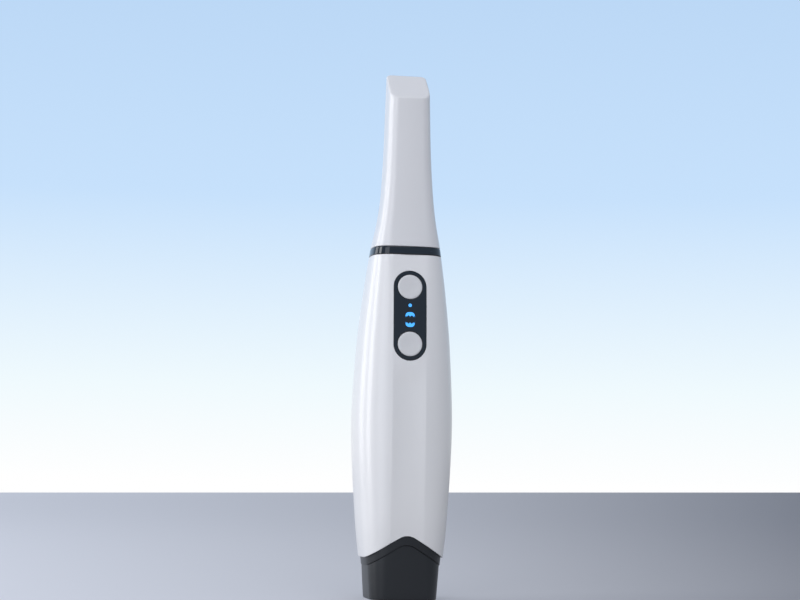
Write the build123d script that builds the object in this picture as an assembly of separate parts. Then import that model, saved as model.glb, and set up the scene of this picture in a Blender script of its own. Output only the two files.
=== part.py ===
from build123d import *
import math
import os

# Wand-shaped intraoral scanner, standing on the flat end of its tail.
# Millimetres. +Z runs up the wand to the scanning tip, -Y is the side with the buttons,
# and the origin is the centre of the flat end. All heights are stacked from that end.

# Lengths along the wand
TAIL_REVEAL = 12.6
CUFF_REVEAL = 3.6
RING_HEIGHT = 3.2
TIP_JOINT_GAP = 0.08

# Outline of the tail end: half width, front and back reach, squareness of the section
BASE_HALF_WIDTH = 13.25
BASE_FRONT = 13.1
BASE_BACK = 13.1
TAIL_MOUTH_HALF_WIDTH = 14.25
TAIL_MOUTH_FRONT = 14.0
TAIL_MOUTH_BACK = 13.8
TAIL_CROWN_HALF_WIDTH = 14.95
TAIL_CROWN_FRONT = 14.7
TAIL_CROWN_BACK = 14.4
TAIL_CROWN_RISE = 12.0
TAIL_SQUARENESS = 3.6
BASE_EDGE_ROUND = 0.6

# Outline of the white sleeve, from its lower corners up to the ring; a span is the height from
# the station before
ROOT_DROP = 12.0
ROOT_HALF_WIDTH = 14.85
ROOT_FRONT = 15.1
ROOT_BACK = 14.2
FOOT_HALF_WIDTH = 16.05
FOOT_FRONT = 15.9
FOOT_BACK = 15.2
FOOT_SQUARENESS = 3.2
HIP_SPAN = 14.0
HIP_HALF_WIDTH = 17.65
HIP_FRONT = 16.7
HIP_BACK = 17.0
HIP_SQUARENESS = 2.9
BELLY_SPAN = 36.0
BELLY_HALF_WIDTH = 19.74
BELLY_FRONT = 16.4
BELLY_BACK = 19.8
BELLY_SQUARENESS = 2.6
WAIST_SPAN = 31.0
WAIST_HALF_WIDTH = 18.4
WAIST_FRONT = 15.1
WAIST_BACK = 18.3
WAIST_SQUARENESS = 2.75
THROAT_SPAN = 20.0
THROAT_HALF_WIDTH = 16.37
THROAT_FRONT = 13.6
THROAT_BACK = 16.0
THROAT_SQUARENESS = 2.95
COLLAR_SPAN = 17.0
COLLAR_HALF_WIDTH = 14.0
COLLAR_FRONT = 11.3
COLLAR_BACK = 12.3
COLLAR_SQUARENESS = 3.4

# Outline of the scanning tip, from the ring up to its end
TIP_BASE_HALF_WIDTH = 13.55
TIP_BASE_FRONT = 11.0
TIP_BASE_BACK = 11.8
TIP_FLARE_SPAN = 10.5
TIP_FLARE_HALF_WIDTH = 11.45
TIP_FLARE_FRONT = 10.2
TIP_FLARE_BACK = 8.7
TIP_NECK_SPAN = 10.5
TIP_NECK_HALF_WIDTH = 10.2
TIP_NECK_FRONT = 9.6
TIP_NECK_BACK = 7.1
TIP_STEM_SPAN = 15.0
TIP_STEM_HALF_WIDTH = 9.3
TIP_STEM_FRONT = 8.8
TIP_STEM_BACK = 6.2
TIP_HEAD_SPAN = 17.0
TIP_HEAD_HALF_WIDTH = 8.78
TIP_HEAD_FRONT = 8.1
TIP_HEAD_BACK = 5.9
TIP_END_SPAN = 19.45
TIP_END_HALF_WIDTH = 8.56
TIP_END_FRONT = 7.8
TIP_END_BACK = 5.8
TIP_SQUARENESS = 3.9

# Walls and fits
SLEEVE_WALL = 1.5
TIP_WALL = 1.3
NOSE_WALL = 1.2
CUFF_WALL = 2.2
TAIL_WALL = 2.0
CUFF_INSET = 0.85
FIT_GAP = 0.1
NOSE_GAP = 0.15
CORNER_STEPS = 30
LONG_SPAN = 16.0

# Chevron edge between the sleeve and the tail
VEE_HALF_WIDTH = 15.4
VEE_ANGLE = 31.4
VEE_ROUND = 4.5

# Front facet and button panel
FACET_WIDTH = 13.2
PANEL_CLEARANCE = 1.05
PANEL_LENGTH = 35.5
PANEL_WIDTH = 13.0
PANEL_THICKNESS = 1.0
PANEL_LEDGE = 0.95
PANEL_GAP = 0.04
BUTTON_DIAMETER = 9.6
BUTTON_GAP = 0.09
BUTTON_PROUD = 0.55
BUTTON_EDGE_CHAMFER = 0.3
BUTTON_FLANGE = 0.45
BUTTON_FLANGE_HEIGHT = 0.6
BUTTON_TRAVEL = 0.5
BUTTON_STEM_DIAMETER = 3.0
PLUNGER_DIAMETER = 2.0
PLUNGER_SEAT = 2.6
SWITCH_SIZE = 4.5
SWITCH_HEIGHT = 1.5
BOARD_DEPTH = 4.6
BUTTON_BOARD_THICKNESS = 0.8
BUTTON_BOARD_LIP = 1.2
BUTTON_BOARD_MARGIN = 0.9
BUTTON_SCREW_SIDE = 2.0
BUTTON_SCREW_END = 2.75
BOSS_MARGIN = 0.5
PANEL_CORNER = 2.0

# Indicator windows, placed by shares of the room between the two keys
GUIDE_CLEARANCE = 1.1
DOT_SHARE = 0.405
DOT_DIAMETER = 1.5
ARCH_WIDTH = 4.0
ARCH_HEIGHT_SHARE = 0.235
ARCH_BAND_SHARE = 0.54
ARCH_SIDE_BAND = 1.24362
UPPER_ARCH_SHARE = 0.09
LOWER_ARCH_SHARE = 0.26
GUIDE_WIDTH = 9.4
GUIDE_THICKNESS = 1.6
GUIDE_LEG = 1.2
LED_LENGTH = 1.6
LED_WIDTH = 0.8
LED_HEIGHT = 0.7

# Scanning window and mirror
BEVEL_DEPTH = 13.6
BEVEL_FALL = 12.2
BEVEL_ROUND = 0.9
TIP_OVERRUN = 6.0
BEVEL_WALL = 1.4
WINDOW_WIDTH = 12.4
WINDOW_LENGTH = 14.6
WINDOW_DROP = 4.8
WINDOW_SILL = 0.9
WINDOW_CORNER = 2.0
MIRROR_SIDE_GAP = 2.0
MIRROR_END_GAP = 3.6
MIRROR_SHIFT = 0.5
MIRROR_THICKNESS = 1.2

# Nose that the tip slides over
NOSE_REACH = 38.0
NOSE_ROOT = 4.5
NOSE_FLOOR = 2.0
GLASS_THICKNESS = 1.5
GLASS_SETBACK = 0.6

# Optics
OPTICAL_AXIS_Y = 1.0
PROJECTOR_DIAMETER = 8.0
PROJECTOR_LENGTH = 32.0
PROJECTOR_COLLAR = 0.6
CAMERA_DIAMETER = 5.6
CAMERA_LENGTH = 18.0
CAMERA_OFFSET = 7.75
LENS_SETBACK = 0.8
LENS_THICKNESS = 2.0
LENS_RIM = 0.7
LENS_BEVEL = 0.4
BARREL_GAP = 0.04
PORT_GAP = 0.1
CAMERA_BOARD_SIZE = 6.4
CAMERA_BOARD_THICKNESS = 1.2

# Optical bench, its boards and its heat sink
BENCH_PLATE = 4.0
BENCH_WIDTH = 22.0
BENCH_FRONT = 5.5
BENCH_BACK = 9.4
BENCH_CORNER = 2.5
SPINE_WIDTH = 17.0
SPINE_THICKNESS = 2.4
SPINE_FACE_Y = 6.0
BULKHEAD_LEVEL = 26.0
BULKHEAD_THICKNESS = 2.5
BULKHEAD_HOLE = 9.0
ENGINE_WIDTH = 16.0
ENGINE_LENGTH = 22.0
ENGINE_FRONT = 6.0
ENGINE_CORNER = 1.0
SINK_WIDTH = 17.0
SINK_FOOT_RISE = 15.2
SINK_BASE = 3.0
SINK_FIN_HEIGHT = 10.0
SINK_FIN_THICKNESS = 1.2
SINK_FINS = 6
SINK_CLEARANCE = 6.0
MAIN_BOARD_WIDTH = 20.0
MAIN_BOARD_LENGTH = 80.0
MAIN_BOARD_THICKNESS = 1.2
STANDOFF_HEIGHT = 2.0
STANDOFF_DIAMETER = 3.2
STANDOFF_EDGE = 3.5
SHIELD_SIZE = 15.0
SHIELD_HEIGHT = 2.2
CONNECTOR_WIDTH = 10.0
CONNECTOR_LENGTH = 3.6
CONNECTOR_HEIGHT = 1.8
CONNECTOR_EDGE = 12.0

# Screws
SCREW_DIAMETER = 1.6
SCREW_HEAD_DIAMETER = 2.8
SCREW_HEAD_HEIGHT = 0.9
SCREW_LENGTH = 4.0
BOARD_SCREW_DIAMETER = 1.2
BOARD_SCREW_HEAD_DIAMETER = 2.2
BOARD_SCREW_HEAD_HEIGHT = 0.7
BOARD_SCREW_LENGTH = 2.4
SCREW_FIT = 0.02
NOSE_SCREW_X = 5.9
NOSE_SCREW_Y = 5.0

# Cable inlet in the end of the tail
TAIL_FLOOR = 3.0
INLET_DIAMETER = 10.0
INLET_DEPTH = 7.0
INLET_WALL = 1.4
SOCKET_DIAMETER = 8.0
SOCKET_HEIGHT = 2.6
CONTACT_DIAMETER = 0.8
CONTACT_CIRCLE = 4.6
CONTACT_COUNT = 4
CONTACT_LENGTH = 4.0
TAIL_SPIGOT_TOP = 25.0
TAIL_SCREW_X = 6.3
TAIL_SCREW_Y = 5.6
TAIL_SCREW_LENGTH = 9.0
TAIL_SCREW_HEAD_DEPTH = 0.3
TAIL_BOSS_DIAMETER = 3.8
SPIGOT_RISE = 19.0

# Heights worked out from the lengths and spans above
CUFF_LEVEL = TAIL_REVEAL
SLEEVE_LEVEL = CUFF_LEVEL + CUFF_REVEAL
HIP_LEVEL = SLEEVE_LEVEL + HIP_SPAN
BELLY_LEVEL = HIP_LEVEL + BELLY_SPAN
WAIST_LEVEL = BELLY_LEVEL + WAIST_SPAN
THROAT_LEVEL = WAIST_LEVEL + THROAT_SPAN
RING_LEVEL = THROAT_LEVEL + COLLAR_SPAN
TIP_LEVEL = RING_LEVEL + RING_HEIGHT
FLARE_LEVEL = TIP_LEVEL + TIP_FLARE_SPAN
NECK_LEVEL = FLARE_LEVEL + TIP_NECK_SPAN
STEM_LEVEL = NECK_LEVEL + TIP_STEM_SPAN
HEAD_LEVEL = STEM_LEVEL + TIP_HEAD_SPAN
TOP_LEVEL = HEAD_LEVEL + TIP_END_SPAN
NOSE_LEVEL = RING_LEVEL - NOSE_ROOT
BENCH_LEVEL = NOSE_LEVEL - BENCH_PLATE
SPINE_LEVEL = BULKHEAD_LEVEL + BULKHEAD_THICKNESS
REACH = 60.0

# Sizes worked out for the panel, the keys and the windows between them
BUTTON_PITCH = PANEL_LENGTH - PANEL_WIDTH
BUTTON_BOARD_WIDTH = PANEL_WIDTH + 2 * BUTTON_BOARD_LIP
BUTTON_BOARD_LENGTH = PANEL_LENGTH + 2 * BUTTON_BOARD_MARGIN
PANEL_LEVEL = NOSE_LEVEL - PANEL_CLEARANCE - BUTTON_BOARD_LENGTH / 2
GUIDE_LENGTH = BUTTON_PITCH - BUTTON_DIAMETER - 2 * (BUTTON_FLANGE + GUIDE_CLEARANCE)
DOT_RISE = DOT_SHARE * GUIDE_LENGTH
ARCH_HEIGHT = ARCH_HEIGHT_SHARE * GUIDE_LENGTH
ARCH_BAND = ARCH_BAND_SHARE * ARCH_HEIGHT
UPPER_ARCH_RISE = -UPPER_ARCH_SHARE * GUIDE_LENGTH
LOWER_ARCH_RISE = -LOWER_ARCH_SHARE * GUIDE_LENGTH

# One station is a height above the base, a half width, a front and a back reach, a squareness
TAIL_STATIONS = [
    (0.0, BASE_HALF_WIDTH, BASE_FRONT, BASE_BACK, TAIL_SQUARENESS),
    (TAIL_REVEAL, TAIL_MOUTH_HALF_WIDTH, TAIL_MOUTH_FRONT, TAIL_MOUTH_BACK, TAIL_SQUARENESS),
    (
        TAIL_REVEAL + TAIL_CROWN_RISE,
        TAIL_CROWN_HALF_WIDTH,
        TAIL_CROWN_FRONT,
        TAIL_CROWN_BACK,
        TAIL_SQUARENESS,
    ),
]
HANDLE_STATIONS = [
    (SLEEVE_LEVEL - ROOT_DROP, ROOT_HALF_WIDTH, ROOT_FRONT, ROOT_BACK, FOOT_SQUARENESS),
    (SLEEVE_LEVEL, FOOT_HALF_WIDTH, FOOT_FRONT, FOOT_BACK, FOOT_SQUARENESS),
    (HIP_LEVEL, HIP_HALF_WIDTH, HIP_FRONT, HIP_BACK, HIP_SQUARENESS),
    (BELLY_LEVEL, BELLY_HALF_WIDTH, BELLY_FRONT, BELLY_BACK, BELLY_SQUARENESS),
    (WAIST_LEVEL, WAIST_HALF_WIDTH, WAIST_FRONT, WAIST_BACK, WAIST_SQUARENESS),
    (THROAT_LEVEL, THROAT_HALF_WIDTH, THROAT_FRONT, THROAT_BACK, THROAT_SQUARENESS),
    (RING_LEVEL, COLLAR_HALF_WIDTH, COLLAR_FRONT, COLLAR_BACK, COLLAR_SQUARENESS),
]
TIP_STATIONS = [
    (TIP_LEVEL, TIP_BASE_HALF_WIDTH, TIP_BASE_FRONT, TIP_BASE_BACK, COLLAR_SQUARENESS),
    (FLARE_LEVEL, TIP_FLARE_HALF_WIDTH, TIP_FLARE_FRONT, TIP_FLARE_BACK, TIP_SQUARENESS),
    (NECK_LEVEL, TIP_NECK_HALF_WIDTH, TIP_NECK_FRONT, TIP_NECK_BACK, TIP_SQUARENESS),
    (STEM_LEVEL, TIP_STEM_HALF_WIDTH, TIP_STEM_FRONT, TIP_STEM_BACK, TIP_SQUARENESS),
    (HEAD_LEVEL, TIP_HEAD_HALF_WIDTH, TIP_HEAD_FRONT, TIP_HEAD_BACK, TIP_SQUARENESS),
    (TOP_LEVEL, TIP_END_HALF_WIDTH, TIP_END_FRONT, TIP_END_BACK, TIP_SQUARENESS),
]


def station_slope(stations, index):
    """Change of each size with height at one station, from its neighbours."""
    before = stations[max(index - 1, 0)]
    after = stations[min(index + 1, len(stations) - 1)]
    rise = after[0] - before[0]
    return [(high - low) / rise for low, high in zip(before[1:], after[1:])]


def at_level(stations, level):
    """Half width, front, back and squareness at a height, on a smooth curve between stations."""
    if level <= stations[0][0]:
        index = 0
    elif level >= stations[-1][0]:
        index = len(stations) - 2
    else:
        index = max(i for i, station in enumerate(stations[:-1]) if station[0] <= level)
    low, high = stations[index], stations[index + 1]
    span = high[0] - low[0]
    t = (level - low[0]) / span
    if t < 0 or t > 1:
        return [a + (b - a) * t for a, b in zip(low[1:], high[1:])]
    leaving = station_slope(stations, index)
    arriving = station_slope(stations, index + 1)
    sizes = []
    for a, b, slope_a, slope_b in zip(low[1:], high[1:], leaving, arriving):
        bend_in = (2 * t**3 - 3 * t**2 + 1) * a + (t**3 - 2 * t**2 + t) * span * slope_a
        bend_out = (3 * t**2 - 2 * t**3) * b + (t**3 - t**2) * span * slope_b
        sizes.append(bend_in + bend_out)
    return sizes


def bow_radius(reach, other, squareness):
    """Radius of the arc across the middle half of a side that lies at a reach."""
    sag = reach * (1 - (1 - 0.5**squareness) ** (1 / squareness))
    return ((other / 2) ** 2 + sag**2) / (2 * sag)


def corner_circle(half_width, half_depth, squareness):
    """Centre and radius of the corner arc, tangent to two sides and through their diagonal point."""
    side = bow_radius(half_width, half_depth, squareness)
    front = bow_radius(half_depth, half_width, squareness)
    side_x, front_y = half_width - side, half_depth - front
    apart = math.hypot(side_x, front_y)
    diagonal = math.hypot(half_width, half_depth)
    low, high = 0.0, min(half_width, half_depth)
    for _ in range(CORNER_STEPS):
        radius = (low + high) / 2
        along = ((side - radius) ** 2 - (front - radius) ** 2 + apart**2) / (2 * apart)
        across = math.sqrt(max((side - radius) ** 2 - along**2, 0.0))
        x = side_x - (side_x * along + front_y * across) / apart
        y = (front_y * along - side_x * across) / apart
        ahead = (x * half_width + y * half_depth) / diagonal
        reach = ahead + math.sqrt(max(radius**2 - x**2 - y**2 + ahead**2, 0.0))
        if reach > diagonal * 2 ** (-1 / squareness):
            low = radius
        else:
            high = radius
    return x, y, radius


def point_beyond(centre, through, radius):
    """Point at a radius from a centre, on the ray through another point."""
    reach = math.dist(centre, through)
    return tuple(c + (t - c) * radius / reach for c, t in zip(centre, through))


def outline(stations, level, inset=0.0, height=None):
    """Rounded-square outline of one section in eight tangent arcs, moved inwards by inset."""
    half_width, front, back, squareness = at_level(stations, level)
    middle = (back - front) / 2
    half_depth = (back + front) / 2 - inset
    half_width = half_width - inset
    z = level if height is None else height
    x, y, radius = corner_circle(half_width, half_depth, squareness)
    side_bow = bow_radius(half_width, half_depth, squareness)
    front_bow = bow_radius(half_depth, half_width, squareness)
    side_end = point_beyond((half_width - side_bow, 0), (x, y), side_bow)
    front_end = point_beyond((0, half_depth - front_bow), (x, y), front_bow)
    corner = point_beyond((x, y), (side_end[0] + front_end[0] - x, side_end[1] + front_end[1] - y), radius)
    quarter = [(half_width, 0), side_end, corner, front_end, (0, half_depth)]
    halves = quarter + [(-px, py) for px, py in reversed(quarter[:-1])]
    ring = halves + [(px, -py) for px, py in reversed(halves[1:-1])]
    points = [(px, middle + py, z) for px, py in ring[-1:] + ring[:-1]]
    points.append(points[0])
    return Wire([ThreePointArc(*points[step : step + 3]) for step in range(0, len(ring), 2)])


def levels_between(stations, low, high):
    """The two end heights, every station between them and the middles of the long spans."""
    inside = [station[0] for station in stations if low + 1.0 < station[0] < high - 1.0]
    marks = [low, *inside, high]
    middles = [(a + b) / 2 for a, b in zip(marks, marks[1:]) if b - a > LONG_SPAN]
    return sorted(marks + middles)


def form(stations, low, high, inset=0.0):
    """Solid that follows the stations between two heights."""
    wires = [outline(stations, level, inset) for level in levels_between(stations, low, high)]
    return Solid.make_loft(wires)


def tip_form(low, inset=0.0):
    """Solid of the tip that runs on straight past its end, to be cut by the slant."""
    wires = [
        outline(TIP_STATIONS, level, inset) for level in levels_between(TIP_STATIONS, low, TOP_LEVEL)
    ]
    wires.append(outline(TIP_STATIONS, TOP_LEVEL, inset, height=TOP_LEVEL + TIP_OVERRUN))
    return Solid.make_loft(wires)


def straight_form(stations, level, low, high, inset=0.0):
    """Solid with the section of one station level, from one height to another."""
    face = Face(outline(stations, level, inset, height=low))
    return extrude(face, amount=high - low, dir=(0, 0, 1))


def cylinder_up(diameter, low, high, x=0.0, y=0.0):
    """Upright cylinder between two heights."""
    return extrude(Plane.XY.offset(low) * Pos(x, y) * Circle(diameter / 2), amount=high - low)


def block(width, low_y, high_y, low_z, high_z, corner=0.0):
    """Box centred on x = 0, with its upright edges rounded."""
    depth = high_y - low_y
    sketch = Rectangle(width, depth) if corner <= 0 else RectangleRounded(width, depth, corner)
    return extrude(
        Plane.XY.offset(low_z) * Pos(0, (low_y + high_y) / 2) * sketch, amount=high_z - low_z
    )


def below_chevron(drop):
    """Everything below the chevron edge, which is lowered by drop."""
    corner_z = SLEEVE_LEVEL - drop
    apex_z = corner_z + VEE_HALF_WIDTH * math.tan(math.radians(VEE_ANGLE))
    flank = Polyline(
        (-REACH, corner_z),
        (-VEE_HALF_WIDTH, corner_z),
        (0, apex_z),
        (VEE_HALF_WIDTH, corner_z),
        (REACH, corner_z),
        (REACH, -REACH),
        (-REACH, -REACH),
        close=True,
    )
    sketch = make_face(flank)
    apex = sketch.vertices().sort_by(Axis.Y)[-1]
    sketch = fillet(apex, VEE_ROUND)
    return extrude(Plane.XZ * sketch, amount=REACH, both=True)


def facet_inset(level):
    """How far the flat front is sunk below the crown for its width at a height."""
    half_width, front, back, squareness = at_level(HANDLE_STATIONS, level)
    bow = bow_radius((front + back) / 2, half_width, squareness)
    return bow - math.sqrt(bow**2 - (FACET_WIDTH / 2) ** 2)


def facet_y(level):
    """Y of the flat front at a height."""
    return facet_inset(level) - at_level(HANDLE_STATIONS, level)[1]


PANEL_TILT = math.atan2(
    facet_y(PANEL_LEVEL + PANEL_LENGTH / 2) - facet_y(PANEL_LEVEL - PANEL_LENGTH / 2),
    PANEL_LENGTH,
)
PANEL_PLANE = Plane(
    origin=(
        0,
        (facet_y(PANEL_LEVEL + PANEL_LENGTH / 2) + facet_y(PANEL_LEVEL - PANEL_LENGTH / 2)) / 2,
        PANEL_LEVEL,
    ),
    x_dir=(1, 0, 0),
    z_dir=(0, -math.cos(PANEL_TILT), math.sin(PANEL_TILT)),
)


def beyond_facet():
    """Everything in front of the flat front, which runs out straight above the panel."""
    panel_top = PANEL_LEVEL + PANEL_LENGTH / 2
    panel_foot = PANEL_LEVEL - PANEL_LENGTH / 2
    root = SLEEVE_LEVEL - ROOT_DROP
    marks = [panel_top, panel_foot, BELLY_LEVEL, HIP_LEVEL, root]
    levels = marks + [(a + b) / 2 for a, b in zip(marks, marks[1:])]
    points = [(facet_y(level), level) for level in sorted(levels, reverse=True)]
    arcs = [ThreePointArc(*points[step : step + 3]) for step in range(0, len(points) - 1, 2)]
    leaving = arcs[0] % 0
    run = REACH / abs(leaving.Y)
    end = (points[0][0] - leaving.X * run, points[0][1] - leaving.Y * run)
    rest = Polyline(points[0], end, (-REACH, end[1]), (-REACH, root), points[-1])
    sketch = make_face([*[arc.edge() for arc in arcs], *rest.edges()])
    return extrude(Plane.YZ * sketch, amount=REACH, both=True)


def panel_prism(sketch, low, high):
    """Prism on the panel's plane, between two distances in front of it."""
    return extrude(PANEL_PLANE.offset(low) * sketch, amount=high - low)


def stadium(length, width):
    """Stadium outline that runs up the panel."""
    return SlotOverall(length, width, rotation=90)


def arch_sketch(rise, upward, grow=0.0):
    """Jaw-shaped indicator window."""
    outer = Ellipse(ARCH_WIDTH / 2 + grow, ARCH_HEIGHT + grow)
    inner = Ellipse(ARCH_WIDTH / 2 - ARCH_SIDE_BAND - grow, ARCH_HEIGHT - ARCH_BAND - grow)
    side = 1 if upward else -1
    half = Pos(0, side * (ARCH_HEIGHT - grow)) * Rectangle(ARCH_WIDTH * 2, ARCH_HEIGHT * 2)
    return Pos(0, rise) * ((outer - inner) & half)


def indicator_sketches(grow=0.0):
    """The dot and the two jaw-shaped windows."""
    dot = Pos(0, DOT_RISE) * Circle(DOT_DIAMETER / 2 + grow)
    upper = arch_sketch(UPPER_ARCH_RISE, True, grow)
    lower = arch_sketch(LOWER_ARCH_RISE, False, grow)
    return [dot, upper, lower]


def screw_up(x, y, seat, length, diameter, head_diameter, head_height, side=1):
    """Screw on a vertical axis: its shank leaves the seat downwards for side 1."""
    shank = cylinder_up(diameter, *sorted((seat - side * length, seat)), x, y)
    head = cylinder_up(head_diameter, *sorted((seat, seat + side * head_height)), x, y)
    return shank + head


def body_sleeve():
    """White one-piece sleeve with its flat front, chevron foot and panel seat."""
    low = SLEEVE_LEVEL - CUFF_REVEAL
    outer = form(HANDLE_STATIONS, low, RING_LEVEL) - beyond_facet()
    inner = form(HANDLE_STATIONS, low, RING_LEVEL, SLEEVE_WALL)
    boss_width = BUTTON_BOARD_WIDTH + 2 * BOSS_MARGIN
    boss_length = BUTTON_BOARD_LENGTH + 2 * BOSS_MARGIN
    boss = panel_prism(
        RectangleRounded(boss_width, boss_length, PANEL_CORNER), -BOARD_DEPTH, REACH / 4
    )
    shell = (outer - inner) + (boss & outer)
    seat = panel_prism(
        stadium(PANEL_LENGTH + 2 * PANEL_GAP, PANEL_WIDTH + 2 * PANEL_GAP),
        -PANEL_THICKNESS,
        REACH / 4,
    )
    well = panel_prism(
        stadium(PANEL_LENGTH - 2 * PANEL_LEDGE, PANEL_WIDTH - 2 * PANEL_LEDGE),
        -BOARD_DEPTH,
        REACH / 4,
    )
    pilot = BOARD_SCREW_DIAMETER / 2 + SCREW_FIT
    pilots = [
        panel_prism(Pos(x, y) * Circle(pilot), -BOARD_DEPTH, -BOARD_DEPTH + BOARD_SCREW_LENGTH)
        for x, y in button_screw_places()
    ]
    return shell - below_chevron(0) - seat - well - pilots


def button_screw_places():
    """Places of the button board's screws on the panel's plane."""
    x = BUTTON_BOARD_WIDTH / 2 - BUTTON_SCREW_SIDE
    y = BUTTON_BOARD_LENGTH / 2 - BUTTON_SCREW_END
    return [(x, y), (-x, -y)]


def button_panel():
    """Gloss black stadium inlay, flush with the flat front."""
    plate = panel_prism(stadium(PANEL_LENGTH, PANEL_WIDTH), -PANEL_THICKNESS, PANEL_THICKNESS)
    plate = plate - beyond_facet()
    for rise in (BUTTON_PITCH / 2, -BUTTON_PITCH / 2):
        hole = Pos(0, rise) * Circle(BUTTON_DIAMETER / 2 + BUTTON_GAP)
        plate = plate - panel_prism(hole, -PANEL_THICKNESS, PANEL_THICKNESS)
    for window in indicator_sketches(PANEL_GAP):
        plate = plate - panel_prism(window, -PANEL_THICKNESS, PANEL_THICKNESS)
    return plate


def button(rise):
    """Round key cap with its retaining flange and stem."""
    radius = BUTTON_DIAMETER / 2
    flange_top = -PANEL_THICKNESS - FIT_GAP
    flange_foot = flange_top - BUTTON_FLANGE_HEIGHT
    place = Pos(0, rise)
    cap = panel_prism(place * Circle(radius), flange_top, BUTTON_PROUD)
    face = cap.faces().sort_by(Axis(PANEL_PLANE.origin, PANEL_PLANE.z_dir))[-1]
    cap = chamfer(face.edges(), BUTTON_EDGE_CHAMFER)
    flange = panel_prism(place * Circle(radius + BUTTON_FLANGE), flange_foot, flange_top)
    stem = Circle(BUTTON_STEM_DIAMETER / 2)
    return cap + flange + panel_prism(place * stem, -PLUNGER_SEAT + FIT_GAP / 2, flange_foot)


def plunger(rise):
    """Plunger of a switch, which the button carries down."""
    travel_room = BUTTON_TRAVEL + FIT_GAP
    return panel_prism(
        Pos(0, rise) * Circle(PLUNGER_DIAMETER / 2), -BOARD_DEPTH + travel_room, -PLUNGER_SEAT
    )


def switch(rise):
    """Square switch body on the button board, with the plunger's bore."""
    body = panel_prism(
        Pos(0, rise) * Rectangle(SWITCH_SIZE, SWITCH_SIZE), -BOARD_DEPTH, -BOARD_DEPTH + SWITCH_HEIGHT
    )
    bore = Pos(0, rise) * Circle(PLUNGER_DIAMETER / 2 + SCREW_FIT * 2)
    return body - panel_prism(bore, -BOARD_DEPTH, -BOARD_DEPTH + SWITCH_HEIGHT)


def light_guide():
    """Clear guide whose dot and two jaw-shaped windows fill the panel's openings."""
    top = -PANEL_THICKNESS
    foot = top - GUIDE_THICKNESS
    guide = panel_prism(Rectangle(GUIDE_WIDTH, GUIDE_LENGTH), foot, top)
    leg_x = (GUIDE_WIDTH - GUIDE_LEG) / 2
    for x in (leg_x, -leg_x):
        guide = guide + panel_prism(Pos(x, 0) * Rectangle(GUIDE_LEG, GUIDE_LENGTH), -BOARD_DEPTH, foot)
    for window in indicator_sketches():
        guide = guide + (panel_prism(window, top, PANEL_THICKNESS) - beyond_facet())
    return guide


def indicator_leds():
    """Light chips on the button board, one behind each window."""
    chip = Rectangle(LED_LENGTH, LED_WIDTH)
    upper_middle = UPPER_ARCH_RISE + ARCH_HEIGHT / 2
    lower_middle = LOWER_ARCH_RISE - ARCH_HEIGHT / 2
    return [
        panel_prism(Pos(0, rise) * chip, -BOARD_DEPTH, -BOARD_DEPTH + LED_HEIGHT)
        for rise in (DOT_RISE, upper_middle, lower_middle)
    ]


def button_board():
    """Circuit board that closes the well behind the panel."""
    foot = -BOARD_DEPTH - BUTTON_BOARD_THICKNESS
    board = panel_prism(
        RectangleRounded(BUTTON_BOARD_WIDTH, BUTTON_BOARD_LENGTH, PANEL_CORNER), foot, -BOARD_DEPTH
    )
    for x, y in button_screw_places():
        hole = Pos(x, y) * Circle(BOARD_SCREW_DIAMETER / 2 + SCREW_FIT)
        board = board - panel_prism(hole, foot, -BOARD_DEPTH)
    return board


def button_board_screws():
    """Screws that hold the button board to the sleeve."""
    seat = -BOARD_DEPTH - BUTTON_BOARD_THICKNESS
    screws = []
    for x, y in button_screw_places():
        head = Pos(x, y) * Circle(BOARD_SCREW_HEAD_DIAMETER / 2)
        shank = Pos(x, y) * Circle(BOARD_SCREW_DIAMETER / 2)
        screws.append(
            panel_prism(head, seat - BOARD_SCREW_HEAD_HEIGHT, seat)
            + panel_prism(shank, seat, -BOARD_DEPTH + BOARD_SCREW_LENGTH - FIT_GAP)
        )
    return screws


def collar_ring():
    """Gloss black ring between the sleeve and the tip."""
    outer = Solid.make_loft(
        [outline(HANDLE_STATIONS, RING_LEVEL), outline(TIP_STATIONS, TIP_LEVEL)]
    )
    inset = TIP_WALL + NOSE_GAP - FIT_GAP / 2
    return outer - straight_form(TIP_STATIONS, TIP_LEVEL, RING_LEVEL, TIP_LEVEL, inset)


def bevel_tool(shift):
    """Everything above the slanted end of the tip, moved down its normal by shift."""
    ridge_y = at_level(TIP_STATIONS, TOP_LEVEL)[2]
    fall = math.atan2(BEVEL_FALL, BEVEL_DEPTH)
    drop = shift / math.cos(fall)
    back_y, back_z = ridge_y, TOP_LEVEL - drop
    front_y, front_z = ridge_y - BEVEL_DEPTH, TOP_LEVEL - BEVEL_FALL - drop
    stretch = REACH / BEVEL_DEPTH
    far_front = (front_y - BEVEL_DEPTH * stretch, front_z - BEVEL_FALL * stretch)
    far_back = (back_y + BEVEL_DEPTH * stretch, back_z + BEVEL_FALL * stretch)
    sketch = make_face(
        Polyline(
            far_front,
            far_back,
            (far_back[0], TOP_LEVEL + REACH * 4),
            (far_front[0], TOP_LEVEL + REACH * 4),
            close=True,
        )
    )
    return extrude(Plane.YZ * sketch, amount=REACH, both=True)


def window_sketch():
    """Rounded rectangle of the scanning window."""
    return RectangleRounded(WINDOW_WIDTH, WINDOW_LENGTH, WINDOW_CORNER)


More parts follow.
